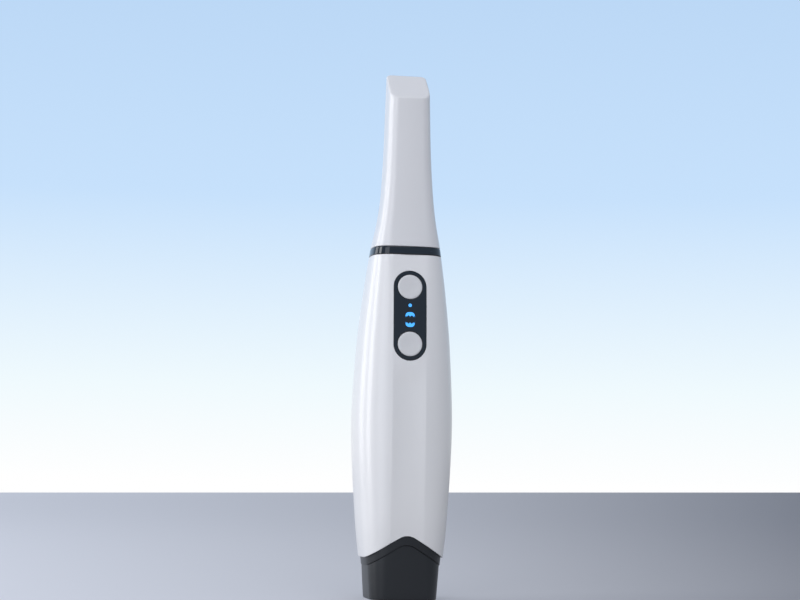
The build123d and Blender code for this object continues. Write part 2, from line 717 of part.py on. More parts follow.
def tip_shell():
    """Removable scanning tip: tapering sleeve with a slanted end and a window in its back."""
    foot = TIP_LEVEL + TIP_JOINT_GAP
    outer = tip_form(foot) - bevel_tool(0)
    slant = outer.faces().filter_by(GeomType.PLANE).sort_by(Axis.Z)[-1]
    outer = fillet(slant.edges(), BEVEL_ROUND)
    inner = tip_form(foot, TIP_WALL) - bevel_tool(BEVEL_WALL)
    window_z = TOP_LEVEL - WINDOW_DROP - WINDOW_LENGTH / 2
    window_y = TIP_END_BACK - TIP_WALL - WINDOW_SILL
    plane = Plane(origin=(0, window_y, window_z), x_dir=(1, 0, 0), z_dir=(0, 1, 0))
    window = extrude(plane * window_sketch(), amount=REACH)
    return outer - inner - window


def tip_mirror():
    """Mirror glued under the slanted end of the tip."""
    fall = math.atan2(BEVEL_FALL, BEVEL_DEPTH)
    ridge_y = at_level(TIP_STATIONS, TOP_LEVEL)[2]
    drop = BEVEL_WALL / math.cos(fall)
    middle = BEVEL_DEPTH / 2
    origin = (0, ridge_y - middle, TOP_LEVEL - BEVEL_FALL / 2 - drop)
    plane = Plane(origin=origin, x_dir=(1, 0, 0), z_dir=(0, math.sin(fall), -math.cos(fall)))
    width = 2 * (TIP_END_HALF_WIDTH - TIP_WALL - MIRROR_SIDE_GAP)
    length = math.hypot(BEVEL_DEPTH, BEVEL_FALL) - 2 * MIRROR_END_GAP
    glass = Pos(0, -MIRROR_SHIFT) * Rectangle(width, length)
    return extrude(plane * glass, amount=MIRROR_THICKNESS)


def nose_screw_places():
    """Places of the screws that hold the nose to the bench."""
    places = []
    for x in (-NOSE_SCREW_X, NOSE_SCREW_X):
        for y in (-NOSE_SCREW_Y, NOSE_SCREW_Y):
            places.append((x, OPTICAL_AXIS_Y + y))
    return places


def nose_tube():
    """Black nose that the tip slides over, with a floor that has the light ports."""
    top = TIP_LEVEL + NOSE_REACH
    inset = TIP_WALL + NOSE_GAP
    outer = form(TIP_STATIONS, TIP_LEVEL, top, inset)
    outer = outer + straight_form(TIP_STATIONS, TIP_LEVEL, NOSE_LEVEL, TIP_LEVEL, inset)
    inner = form(TIP_STATIONS, TIP_LEVEL, top, inset + NOSE_WALL)
    inner = inner + straight_form(
        TIP_STATIONS, TIP_LEVEL, NOSE_LEVEL + NOSE_FLOOR, TIP_LEVEL, inset + NOSE_WALL
    )
    glass_seat = form(
        TIP_STATIONS, top - GLASS_SETBACK - GLASS_THICKNESS, top, inset + NOSE_WALL / 2
    )
    tube = outer - inner - glass_seat
    floor_top = NOSE_LEVEL + NOSE_FLOOR
    ports = [cylinder_up(PROJECTOR_DIAMETER, NOSE_LEVEL, floor_top, 0, OPTICAL_AXIS_Y)]
    for x in (-CAMERA_OFFSET, CAMERA_OFFSET):
        ports.append(cylinder_up(CAMERA_DIAMETER, NOSE_LEVEL, floor_top, x, OPTICAL_AXIS_Y))
    for x, y in nose_screw_places():
        ports.append(cylinder_up(SCREW_DIAMETER + 2 * SCREW_FIT, NOSE_LEVEL, floor_top, x, y))
    return tube - ports


def nose_window():
    """Glass that closes the end of the nose."""
    top = TIP_LEVEL + NOSE_REACH - GLASS_SETBACK
    inset = TIP_WALL + NOSE_GAP + NOSE_WALL / 2 + FIT_GAP / 2
    return form(TIP_STATIONS, top - GLASS_THICKNESS, top, inset)


def bench_screws():
    """Screws through the floor of the nose into the bench."""
    seat = NOSE_LEVEL + NOSE_FLOOR
    return [
        screw_up(x, y, seat, SCREW_LENGTH, SCREW_DIAMETER, SCREW_HEAD_DIAMETER, SCREW_HEAD_HEIGHT)
        for x, y in nose_screw_places()
    ]


def main_board_ends():
    """Lower and upper end of the main board, which sits in the middle of the spine."""
    middle = (SPINE_LEVEL + BENCH_LEVEL) / 2
    return middle - MAIN_BOARD_LENGTH / 2, middle + MAIN_BOARD_LENGTH / 2


def standoff_places():
    """Places of the main board's standoffs, across and up."""
    half = MAIN_BOARD_WIDTH / 2 - STANDOFF_EDGE
    foot, head = main_board_ends()
    low, high = foot + STANDOFF_EDGE, head - STANDOFF_EDGE
    return [(-half, low), (half, low), (-half, high), (half, high)]


def rear_cylinder(diameter, x, z, low_y, high_y):
    """Cylinder along +Y between two depths."""
    plane = Plane(origin=(x, low_y, z), x_dir=(1, 0, 0), z_dir=(0, 1, 0))
    return extrude(plane * Circle(diameter / 2), amount=high_y - low_y)


def optical_bench():
    """Aluminium bench: a bored head plate on a long spine with standoffs."""
    plate = block(BENCH_WIDTH, -BENCH_FRONT, BENCH_BACK, BENCH_LEVEL, NOSE_LEVEL, BENCH_CORNER)
    spine_back = SPINE_FACE_Y + SPINE_THICKNESS
    bench = plate + block(SPINE_WIDTH, SPINE_FACE_Y, spine_back, SPINE_LEVEL, BENCH_LEVEL)
    for x, z in standoff_places():
        bench = bench + rear_cylinder(
            STANDOFF_DIAMETER, x, z, spine_back, spine_back + STANDOFF_HEIGHT
        )
    cuts = [
        cylinder_up(
            PROJECTOR_DIAMETER + 2 * BARREL_GAP, BENCH_LEVEL, NOSE_LEVEL, 0, OPTICAL_AXIS_Y
        )
    ]
    for x in (-CAMERA_OFFSET, CAMERA_OFFSET):
        cuts.append(
            cylinder_up(CAMERA_DIAMETER + 2 * BARREL_GAP, BENCH_LEVEL, NOSE_LEVEL, x, OPTICAL_AXIS_Y)
        )
    for x, y in nose_screw_places():
        cuts.append(cylinder_up(SCREW_DIAMETER + 2 * SCREW_FIT, BENCH_LEVEL, NOSE_LEVEL, x, y))
    pilot = BOARD_SCREW_DIAMETER + 2 * SCREW_FIT
    for x, z in standoff_places():
        cuts.append(
            rear_cylinder(pilot, x, z, spine_back + STANDOFF_HEIGHT - BOARD_SCREW_LENGTH,
                          spine_back + STANDOFF_HEIGHT)
        )
    return bench - cuts


def barrel(x, diameter, length, collar):
    """Lens barrel that ends flush with the top of the bench, with a collar under the plate."""
    top = NOSE_LEVEL
    bore_foot = top - LENS_SETBACK - LENS_THICKNESS
    body = cylinder_up(diameter, top - length, top, x, OPTICAL_AXIS_Y)
    if collar > 0:
        body = body + cylinder_up(
            diameter + 2 * collar, BENCH_LEVEL - collar * 4, BENCH_LEVEL, x, OPTICAL_AXIS_Y
        )
    bore = cylinder_up(diameter - 2 * LENS_RIM, bore_foot, top, x, OPTICAL_AXIS_Y)
    return body - bore


def lens(x, diameter):
    """Lens with a ground bevel, seated in its barrel."""
    radius = diameter / 2 - LENS_RIM - BARREL_GAP
    foot = NOSE_LEVEL - LENS_SETBACK - LENS_THICKNESS
    glass = cylinder_up(2 * radius, foot, foot + LENS_THICKNESS, x, OPTICAL_AXIS_Y)
    return chamfer(glass.faces().sort_by(Axis.Z)[-1].edges(), LENS_BEVEL)


def camera_board(x):
    """Small sensor board under a camera barrel."""
    top = NOSE_LEVEL - CAMERA_LENGTH
    board = block(
        CAMERA_BOARD_SIZE,
        OPTICAL_AXIS_Y - CAMERA_BOARD_SIZE / 2,
        OPTICAL_AXIS_Y + CAMERA_BOARD_SIZE / 2,
        top - CAMERA_BOARD_THICKNESS,
        top,
    )
    return Pos(x, 0, 0) * board


def light_engine():
    """Housing of the projector's light source, bolted to the spine."""
    top = NOSE_LEVEL - PROJECTOR_LENGTH
    return block(ENGINE_WIDTH, -ENGINE_FRONT, SPINE_FACE_Y, top - ENGINE_LENGTH, top, ENGINE_CORNER)


def heat_sink():
    """Finned heat sink on the spine, under the light engine."""
    top = NOSE_LEVEL - PROJECTOR_LENGTH - ENGINE_LENGTH - SINK_CLEARANCE
    foot = SPINE_LEVEL + SINK_FOOT_RISE
    base_front = SPINE_FACE_Y - SINK_BASE
    sink = block(SINK_WIDTH, base_front, SPINE_FACE_Y, foot, top)
    pitch = (SINK_WIDTH - SINK_FIN_THICKNESS) / (SINK_FINS - 1)
    for index in range(SINK_FINS):
        x = -SINK_WIDTH / 2 + SINK_FIN_THICKNESS / 2 + index * pitch
        fin = block(SINK_FIN_THICKNESS, base_front - SINK_FIN_HEIGHT, base_front, foot, top)
        sink = sink + Pos(x, 0, 0) * fin
    return sink


def main_board_face():
    """Y of the main board's inner face."""
    return SPINE_FACE_Y + SPINE_THICKNESS + STANDOFF_HEIGHT


def main_board():
    """Main circuit board on the standoffs behind the spine."""
    low_y = main_board_face()
    board = block(MAIN_BOARD_WIDTH, low_y, low_y + MAIN_BOARD_THICKNESS, *main_board_ends())
    hole = BOARD_SCREW_DIAMETER + 2 * SCREW_FIT
    holes = [
        rear_cylinder(hole, x, z, low_y, low_y + MAIN_BOARD_THICKNESS)
        for x, z in standoff_places()
    ]
    return board - holes


def main_board_screws():
    """Screws that hold the main board to its standoffs."""
    seat = main_board_face() + MAIN_BOARD_THICKNESS
    length = BOARD_SCREW_LENGTH + MAIN_BOARD_THICKNESS - FIT_GAP
    return [
        rear_cylinder(BOARD_SCREW_DIAMETER, x, z, seat - length, seat)
        + rear_cylinder(BOARD_SCREW_HEAD_DIAMETER, x, z, seat, seat + BOARD_SCREW_HEAD_HEIGHT)
        for x, z in standoff_places()
    ]


def processor_shield():
    """Sheet-metal can over the processor."""
    low_y = main_board_face() + MAIN_BOARD_THICKNESS
    low_z = (sum(main_board_ends()) - SHIELD_SIZE) / 2
    return block(SHIELD_SIZE, low_y, low_y + SHIELD_HEIGHT, low_z, low_z + SHIELD_SIZE)


def ribbon_connectors():
    """Ribbon connectors near both ends of the main board."""
    low_y = main_board_face() + MAIN_BOARD_THICKNESS
    foot, head = main_board_ends()
    return [
        block(CONNECTOR_WIDTH, low_y, low_y + CONNECTOR_HEIGHT, z - CONNECTOR_LENGTH / 2,
              z + CONNECTOR_LENGTH / 2)
        for z in (foot + CONNECTOR_EDGE, head - CONNECTOR_EDGE)
    ]


def tail_screw_places():
    """Places of the two screws in the end of the tail."""
    return [(TAIL_SCREW_X, TAIL_SCREW_Y), (-TAIL_SCREW_X, -TAIL_SCREW_Y)]


def tail_cuff():
    """Black cuff: chevron band below the sleeve, spigot inside it, and a bulkhead."""
    low = CUFF_LEVEL - 1.0
    bore_inset = CUFF_INSET + CUFF_WALL
    top = SLEEVE_LEVEL + SPIGOT_RISE
    band = form(HANDLE_STATIONS, low, top, CUFF_INSET) & below_chevron(0)
    spigot = form(HANDLE_STATIONS, low, top, SLEEVE_WALL + FIT_GAP)
    bore = form(HANDLE_STATIONS, low, top, bore_inset)
    cuff = band + spigot - bore - below_chevron(CUFF_REVEAL)
    bulkhead = form(HANDLE_STATIONS, BULKHEAD_LEVEL, SPINE_LEVEL, bore_inset - FIT_GAP)
    cuff = cuff + bulkhead - cylinder_up(BULKHEAD_HOLE, BULKHEAD_LEVEL, SPINE_LEVEL)
    for x, y in tail_screw_places():
        cuff = cuff + cylinder_up(TAIL_BOSS_DIAMETER, TAIL_FLOOR, BULKHEAD_LEVEL, x, y)
    for x, y in tail_screw_places():
        pilot = SCREW_DIAMETER + 2 * SCREW_FIT
        cuff = cuff - cylinder_up(pilot, TAIL_FLOOR, TAIL_SCREW_LENGTH + FIT_GAP, x, y)
    return cuff


def tail_gasket():
    """Gasket between the tail cap and the bulkhead."""
    outer_inset = CUFF_INSET + CUFF_WALL + FIT_GAP
    low, high = TAIL_SPIGOT_TOP, BULKHEAD_LEVEL
    outer = straight_form(HANDLE_STATIONS, low, low, high, outer_inset)
    return outer - straight_form(HANDLE_STATIONS, low, low, high, outer_inset + TAIL_WALL)


def tail_cap():
    """Black tail cap that the wand stands on, with the cable inlet in its floor."""
    spigot_inset = CUFF_INSET + CUFF_WALL + FIT_GAP
    top = SLEEVE_LEVEL + VEE_HALF_WIDTH
    skin = form(TAIL_STATIONS, 0.0, top)
    base = skin.faces().sort_by(Axis.Z)[0]
    skin = fillet(base.edges(), BASE_EDGE_ROUND) & below_chevron(CUFF_REVEAL)
    spigot = form(HANDLE_STATIONS, CUFF_LEVEL / 2, TAIL_SPIGOT_TOP, spigot_inset)
    cavity = form(HANDLE_STATIONS, TAIL_FLOOR, TAIL_SPIGOT_TOP, spigot_inset + TAIL_WALL)
    inlet_top = INLET_DEPTH + SOCKET_HEIGHT
    cap = skin + spigot - cavity
    cap = cap + cylinder_up(INLET_DIAMETER + 2 * INLET_WALL, TAIL_FLOOR, inlet_top)
    cap = cap - cylinder_up(INLET_DIAMETER, 0, INLET_DEPTH)
    cap = cap - cylinder_up(SOCKET_DIAMETER, INLET_DEPTH, inlet_top)
    for x, y in tail_screw_places():
        cap = cap - cylinder_up(SCREW_DIAMETER + 2 * SCREW_FIT, 0, TAIL_FLOOR, x, y)
        seat = TAIL_SCREW_HEAD_DEPTH + SCREW_HEAD_HEIGHT
        cap = cap - cylinder_up(SCREW_HEAD_DIAMETER + 2 * FIT_GAP, 0, seat, x, y)
    return cap


def tail_screws():
    """Screws that hold the tail cap to the cuff's bosses."""
    seat = TAIL_SCREW_HEAD_DEPTH + SCREW_HEAD_HEIGHT
    return [
        screw_up(
            x, y, seat, TAIL_SCREW_LENGTH - seat, SCREW_DIAMETER, SCREW_HEAD_DIAMETER,
            SCREW_HEAD_HEIGHT, side=-1,
        )
        for x, y in tail_screw_places()
    ]


def contact_places():
    """Places of the inlet's contacts, on a circle."""
    places = []
    for index in range(CONTACT_COUNT):
        angle = 2 * math.pi * index / CONTACT_COUNT
        places.append((CONTACT_CIRCLE / 2 * math.cos(angle), CONTACT_CIRCLE / 2 * math.sin(angle)))
    return places


def inlet_socket():
    """Insulating block at the bottom of the cable inlet."""
    top = INLET_DEPTH + SOCKET_HEIGHT
    socket = cylinder_up(SOCKET_DIAMETER - 2 * BARREL_GAP, INLET_DEPTH, top)
    hole = CONTACT_DIAMETER + 2 * SCREW_FIT
    return socket - [cylinder_up(hole, INLET_DEPTH, top, x, y) for x, y in contact_places()]


def inlet_contacts():
    """Gilded contacts, flush with the socket's face."""
    return [
        cylinder_up(CONTACT_DIAMETER, INLET_DEPTH, INLET_DEPTH + CONTACT_LENGTH, x, y)
        for x, y in contact_places()
    ]


def write_part(name, shape):
    """Write one node's solids as a STEP file."""
    pieces = shape if isinstance(shape, list) else [shape]
    solids = [solid for piece in pieces for solid in piece.solids()]
    whole = solids[0] if len(solids) == 1 else Compound(children=solids)
    whole.label = name
    export_step(whole, f"parts/{name}.step")
    print(name, len(solids), round(sum(solid.volume for solid in solids), 1))


os.makedirs("parts", exist_ok=True)
UPPER = BUTTON_PITCH / 2
LOWER = -BUTTON_PITCH / 2
write_part("tip_shell", tip_shell())
write_part("tip_mirror", tip_mirror())
write_part("collar_ring", collar_ring())
write_part("nose_tube", nose_tube())
write_part("nose_window", nose_window())
write_part("body_sleeve", body_sleeve())
write_part("button_panel", button_panel())
write_part("upper_button", button(UPPER))
write_part("lower_button", button(LOWER))
write_part("upper_plunger", plunger(UPPER))
write_part("lower_plunger", plunger(LOWER))
write_part("upper_switch", switch(UPPER))
write_part("lower_switch", switch(LOWER))
write_part("light_guide", light_guide())
write_part("indicator_leds", indicator_leds())
write_part("button_board", button_board())
write_part("button_board_screws", button_board_screws())
write_part("optical_bench", optical_bench())
write_part("bench_screws", bench_screws())
write_part("projector_barrel", barrel(0, PROJECTOR_DIAMETER, PROJECTOR_LENGTH, PROJECTOR_COLLAR))
write_part("projector_lens", lens(0, PROJECTOR_DIAMETER))
write_part("light_engine", light_engine())
write_part("heat_sink", heat_sink())
for side, x in (("left", -CAMERA_OFFSET), ("right", CAMERA_OFFSET)):
    write_part(f"camera_barrel_{side}", barrel(x, CAMERA_DIAMETER, CAMERA_LENGTH, 0))
    write_part(f"camera_lens_{side}", lens(x, CAMERA_DIAMETER))
    write_part(f"camera_board_{side}", camera_board(x))
write_part("main_board", main_board())
write_part("main_board_screws", main_board_screws())
write_part("processor_shield", processor_shield())
write_part("ribbon_connectors", ribbon_connectors())
write_part("tail_cuff", tail_cuff())
write_part("tail_gasket", tail_gasket())
write_part("tail_cap", tail_cap())
write_part("tail_screws", tail_screws())
write_part("inlet_socket", inlet_socket())
write_part("inlet_contacts", inlet_contacts())
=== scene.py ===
"""Studio scene of a wand-shaped intraoral scanner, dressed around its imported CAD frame."""

import logging
import math
from dataclasses import dataclass, replace
from enum import Enum
from typing import Callable, Optional, Sequence

import bpy
from mathutils import Matrix, Vector

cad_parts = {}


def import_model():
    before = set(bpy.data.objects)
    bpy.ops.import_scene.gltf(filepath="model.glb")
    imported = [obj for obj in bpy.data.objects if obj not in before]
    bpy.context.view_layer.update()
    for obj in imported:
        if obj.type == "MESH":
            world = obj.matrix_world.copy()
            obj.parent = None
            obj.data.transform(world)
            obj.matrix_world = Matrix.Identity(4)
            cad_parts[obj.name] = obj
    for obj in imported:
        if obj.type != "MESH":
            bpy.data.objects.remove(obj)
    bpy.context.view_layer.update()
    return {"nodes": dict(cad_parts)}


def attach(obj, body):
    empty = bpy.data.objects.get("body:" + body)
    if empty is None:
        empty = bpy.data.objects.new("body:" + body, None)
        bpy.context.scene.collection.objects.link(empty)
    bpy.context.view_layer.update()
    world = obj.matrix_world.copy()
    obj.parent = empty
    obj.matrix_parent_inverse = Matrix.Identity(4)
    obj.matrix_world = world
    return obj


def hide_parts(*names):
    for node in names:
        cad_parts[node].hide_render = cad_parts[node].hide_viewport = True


LOG = logging.getLogger("scanner")
MM = 0.001

Point = tuple[float, float, float]
Ring = list[Point]
ORIGIN: Point = (0.0, 0.0, 0.0)
OUTWARDS = 0.9  # cosine above which a face counts as facing a direction
SAME_PLACE = 0.0001  # millimetres within which two corners are one
LATHE_WELD = 0.0005  # millimetres within which turned corners are welded
RIM_TRIES = 4  # rounds that find where a wall meets a slanted edge


class Body(Enum):
    """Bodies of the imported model."""

    HANDPIECE = "handpiece"
    TIP = "scanning_tip"
    UPPER_KEY = "upper_key"
    LOWER_KEY = "lower_key"


# ---------------------------------------------------------------- materials


def srgb(code: str) -> tuple[float, float, float, float]:
    """Turn an sRGB hex colour into a linear RGBA value.

    Args:
        code: Six hex digits with a leading hash.

    Returns:
        Linear red, green, blue and an alpha of 1.
    """
    channels = [int(code[i : i + 2], 16) / 255 for i in (1, 3, 5)]
    linear = [c / 12.92 if c <= 0.04045 else ((c + 0.055) / 1.055) ** 2.4 for c in channels]
    return (linear[0], linear[1], linear[2], 1.0)


def add_node(
    tree: bpy.types.NodeTree,
    kind: str,
    settings: Optional[dict] = None,
    inputs: Optional[dict] = None,
    links: Optional[dict] = None,
) -> bpy.types.Node:
    """Add a shader node with its settings and links.

    Args:
        tree: Node tree that gets the node.
        kind: Blender's name of the node type.
        settings: Attributes to set on the node.
        inputs: Socket values by socket name.
        links: Output sockets to link, by the name of the input socket.

    Returns:
        The new node.
    """
    node = tree.nodes.new(kind)
    for name, value in (settings or {}).items():
        setattr(node, name, value)
    for name, value in (inputs or {}).items():
        node.inputs[name].default_value = value
    for name, socket in (links or {}).items():
        tree.links.new(socket, node.inputs[name])
    return node


def clamp(value: float) -> float:
    """Return a value held between 0 and 1."""
    return min(max(value, 0.0), 1.0)


def math_node(
    tree: bpy.types.NodeTree, operation: str, *values: bpy.types.NodeSocket | float
) -> bpy.types.NodeSocket:
    """Add a math node.

    Args:
        tree: Node tree that gets the node.
        operation: Blender's name of the operation.
        values: Socket to link, or number, for each input in turn.

    Returns:
        The node's output.
    """
    node = add_node(tree, "ShaderNodeMath", {"operation": operation})
    for index, value in enumerate(values):
        if isinstance(value, (int, float)):
            node.inputs[index].default_value = value
        else:
            tree.links.new(value, node.inputs[index])
    return node.outputs["Value"]


def new_material(name: str, values: dict[str, object]) -> bpy.types.Material:
    """Start a material on the Principled shader.

    Args:
        name: Name of the material.
        values: Socket values by socket name.

    Returns:
        The new material.
    """
    material = bpy.data.materials.new(name)
    material.use_nodes = True
    shader = material.node_tree.nodes["Principled BSDF"]
    for socket, value in values.items():
        shader.inputs[socket].default_value = value
    return material


def add_grain(
    material: bpy.types.Material,
    size_mm: float,
    depth_mm: float,
    detail: float,
    stretch: Optional[Point] = None,
) -> bpy.types.Material:
    """Raise a fine grain on a material, if it has one.

    Args:
        material: Material that gets the grain.
        size_mm: Size of a grain, 0 for a bare surface.
        depth_mm: Height of the grain.
        detail: Detail of the noise.
        stretch: Scale along each axis, if the grain has a direction.

    Returns:
        The same material.
    """
    if size_mm <= 0:
        return material
    tree = material.node_tree
    place = add_node(tree, "ShaderNodeTexCoord").outputs["Object"]
    if stretch is not None:
        inputs = {"Scale": stretch}
        mapping = add_node(tree, "ShaderNodeMapping", inputs=inputs, links={"Vector": place})
        place = mapping.outputs["Vector"]
    grain = add_node(
        tree,
        "ShaderNodeTexNoise",
        inputs={"Scale": 1 / (size_mm * MM), "Detail": detail},
        links={"Vector": place},
    )
    bump = add_node(
        tree,
        "ShaderNodeBump",
        inputs={"Strength": 1.0, "Distance": depth_mm * MM},
        links={"Height": grain.outputs["Fac"]},
    )
    tree.links.new(bump.outputs["Normal"], tree.nodes["Principled BSDF"].inputs["Normal"])
    return material


@dataclass(frozen=True)
class Plastic:
    """Moulded plastic: an even colour under a fine spark-eroded or polished mould skin."""

    name: str
    colour: str
    roughness: float
    ior: float = 1.5
    coat: float = 0.0
    coat_roughness: float = 0.05
    grain_mm: float = 0.0
    grain_depth_mm: float = 0.0

    def build(self) -> bpy.types.Material:
        """Build the material.

        Returns:
            The new material.
        """
        values = {
            "Base Color": srgb(self.colour),
            "Roughness": self.roughness,
            "IOR": self.ior,
            "Coat Weight": self.coat,
            "Coat Roughness": self.coat_roughness,
        }
        material = new_material(self.name, values)
        return add_grain(material, self.grain_mm, self.grain_depth_mm, 2.0)


@dataclass(frozen=True)
class Metal:
    """Machined or rolled metal with a mill grain along one axis."""

    name: str
    colour: str
    roughness: float
    grain_mm: float = 0.0
    grain_depth_mm: float = 0.0
    stretch: Point = (1.0, 1.0, 1.0)

    def build(self) -> bpy.types.Material:
        """Build the material.

        Returns:
            The new material.
        """
        values = {
            "Base Color": srgb(self.colour),
            "Metallic": 1.0,
            "Roughness": self.roughness,
        }
        material = new_material(self.name, values)
        return add_grain(material, self.grain_mm, self.grain_depth_mm, 3.0, self.stretch)


@dataclass(frozen=True)
class Glass:
    """Polished optical glass with a thin anti-reflection coating."""

    name: str
    colour: str
    ior: float
    coat_tint: str

    def build(self) -> bpy.types.Material:
        """Build the material.

        Returns:
            The new material.
        """
        values = {
            "Base Color": srgb(self.colour),
            "Roughness": 0.0,
            "IOR": self.ior,
            "Transmission Weight": 1.0,
            "Coat Weight": 0.6,
            "Coat Tint": srgb(self.coat_tint),
        }
        return new_material(self.name, values)


@dataclass(frozen=True)
class LitGuide:
    """Clear acrylic light guide, lit from behind: an even glow under a polished skin."""

    name: str
    colour: str
    glow: str
    strength: float

    def build(self) -> bpy.types.Material:
        """Build the material.

        Returns:
            The new material.
        """
        values = {
            "Base Color": srgb(self.colour),
            "Roughness": 0.15,
            "IOR": 1.49,
            "Emission Color": srgb(self.glow),
            "Emission Strength": self.strength,
        }
        return new_material(self.name, values)


@dataclass(frozen=True)
class BoardLacquer:
    """Green solder mask over a copper pattern: the traces show paler."""

    name: str
    mask: str
    trace: str
    pitch_mm: float

    def build(self) -> bpy.types.Material:
        """Build the material.

        Returns:
            The new material.
        """
        material = new_material(self.name, {"Roughness": 0.35})
        tree = material.node_tree
        place = add_node(tree, "ShaderNodeTexCoord")
        cells = add_node(
            tree,
            "ShaderNodeTexVoronoi",
            settings={"distance": "CHEBYCHEV"},
            inputs={"Scale": 1 / (self.pitch_mm * MM), "Randomness": 0.6},
            links={"Vector": place.outputs["Object"]},
        )
        colour = add_node(
            tree,
            "ShaderNodeMix",
            settings={"data_type": "RGBA"},
            inputs={6: srgb(self.mask), 7: srgb(self.trace)},
            links={"Factor": cells.outputs["Distance"]},
        )
        shader = tree.nodes["Principled BSDF"]
        tree.links.new(colour.outputs[2], shader.inputs["Base Color"])
        return material


class Finishes:
    """All finishes of the scanner, by record slot, each built once."""

    RECIPES: dict[str, Plastic | Metal | Glass | LitGuide | BoardLacquer] = {
        # Glossy white copolyester handle, moulded in a polished tool: bright, with a soft sheen
        "shell_white": Plastic(
            "shell_white_moulded_copolyester",
            "#E9EAEE",
            roughness=0.30,
            ior=1.57,
            coat=0.2,
            coat_roughness=0.12,
            grain_mm=0.9,
            grain_depth_mm=0.0012,
        ),
        # Autoclavable polysulfone tip: slightly greyer and softer than the handle
        "tip_white": Plastic(
            "tip_white_moulded_polysulfone",
            "#E2E3E8",
            roughness=0.32,
            ior=1.63,
            coat=0.15,
            coat_roughness=0.15,
            grain_mm=0.9,
            grain_depth_mm=0.0012,
        ),
        # Silky keys with a spark-eroded texture, a touch darker than the shell
        "button_white": Plastic(
            "key_white_textured_abs", "#DADCE1", 0.46, 1.53, grain_mm=0.35, grain_depth_mm=0.006
        ),
        # High-gloss black acrylic, polished: near black with sharp reflections
        "gloss_black": Plastic("gloss_black_polished_acrylic", "#090B12", 0.07, 1.49),
        # Satin black glass-filled nylon tail: broad dull highlights
        "satin_black": Plastic(
            "satin_black_moulded_nylon", "#0E1116", 0.36, 1.53, grain_mm=0.5, grain_depth_mm=0.004
        ),
        # Front-surface mirror: bare evaporated silver
        "front_mirror": Metal("mirror_front_surface_silver", "#F2F3F4", 0.01),
        "window_glass": Glass("window_coated_flat_glass", "#F4FAFB", 1.52, "#BFD8FF"),
        "lens_glass": Glass("lens_coated_glass", "#EAF0FF", 1.6, "#9DB6FF"),
        "switch_black": Plastic("switch_black_moulded_nylon", "#1A1A1C", 0.5),
        "led_package": Plastic("led_package_moulded_epoxy", "#E9E4C9", 0.3),
        "circuit_board": BoardLacquer("board_green_solder_mask", "#0E3B22", "#1F5A36", 1.4),
        "screw_steel": Metal("screw_stainless_turned", "#B9BABC", 0.28),
        "bench_aluminium": Metal(
            "bench_aluminium_milled",
            "#C9CBCE",
            roughness=0.34,
            grain_mm=0.25,
            grain_depth_mm=0.004,
            stretch=(1.0, 1.0, 0.08),
        ),
        "barrel_black": Plastic(
            "barrel_black_anodised", "#141416", 0.4, grain_mm=0.3, grain_depth_mm=0.003
        ),
        "shield_steel": Metal(
            "shield_tinned_sheet_steel", "#B5B3AC", 0.3, grain_mm=0.6, grain_depth_mm=0.004
        ),
        "connector_white": Plastic("connector_cream_moulded_nylon", "#DCD6C2", 0.5),
        # Silicone gasket: very rough and dark
        "seal_rubber": Plastic("seal_moulded_silicone", "#1B1B1D", 0.75, 1.41),
        "contact_brass": Metal("contact_gilded_brass", "#D9B25F", 0.22),
        "guide_blue": LitGuide("guide_lit_clear_acrylic", "#3F8FD8", "#45A2F6", 1.0),
    }

    def __init__(self) -> None:
        """Build every material once, by its record slot."""
        self.by_slot = {slot: recipe.build() for slot, recipe in self.RECIPES.items()}


# ---------------------------------------------------------------- sections


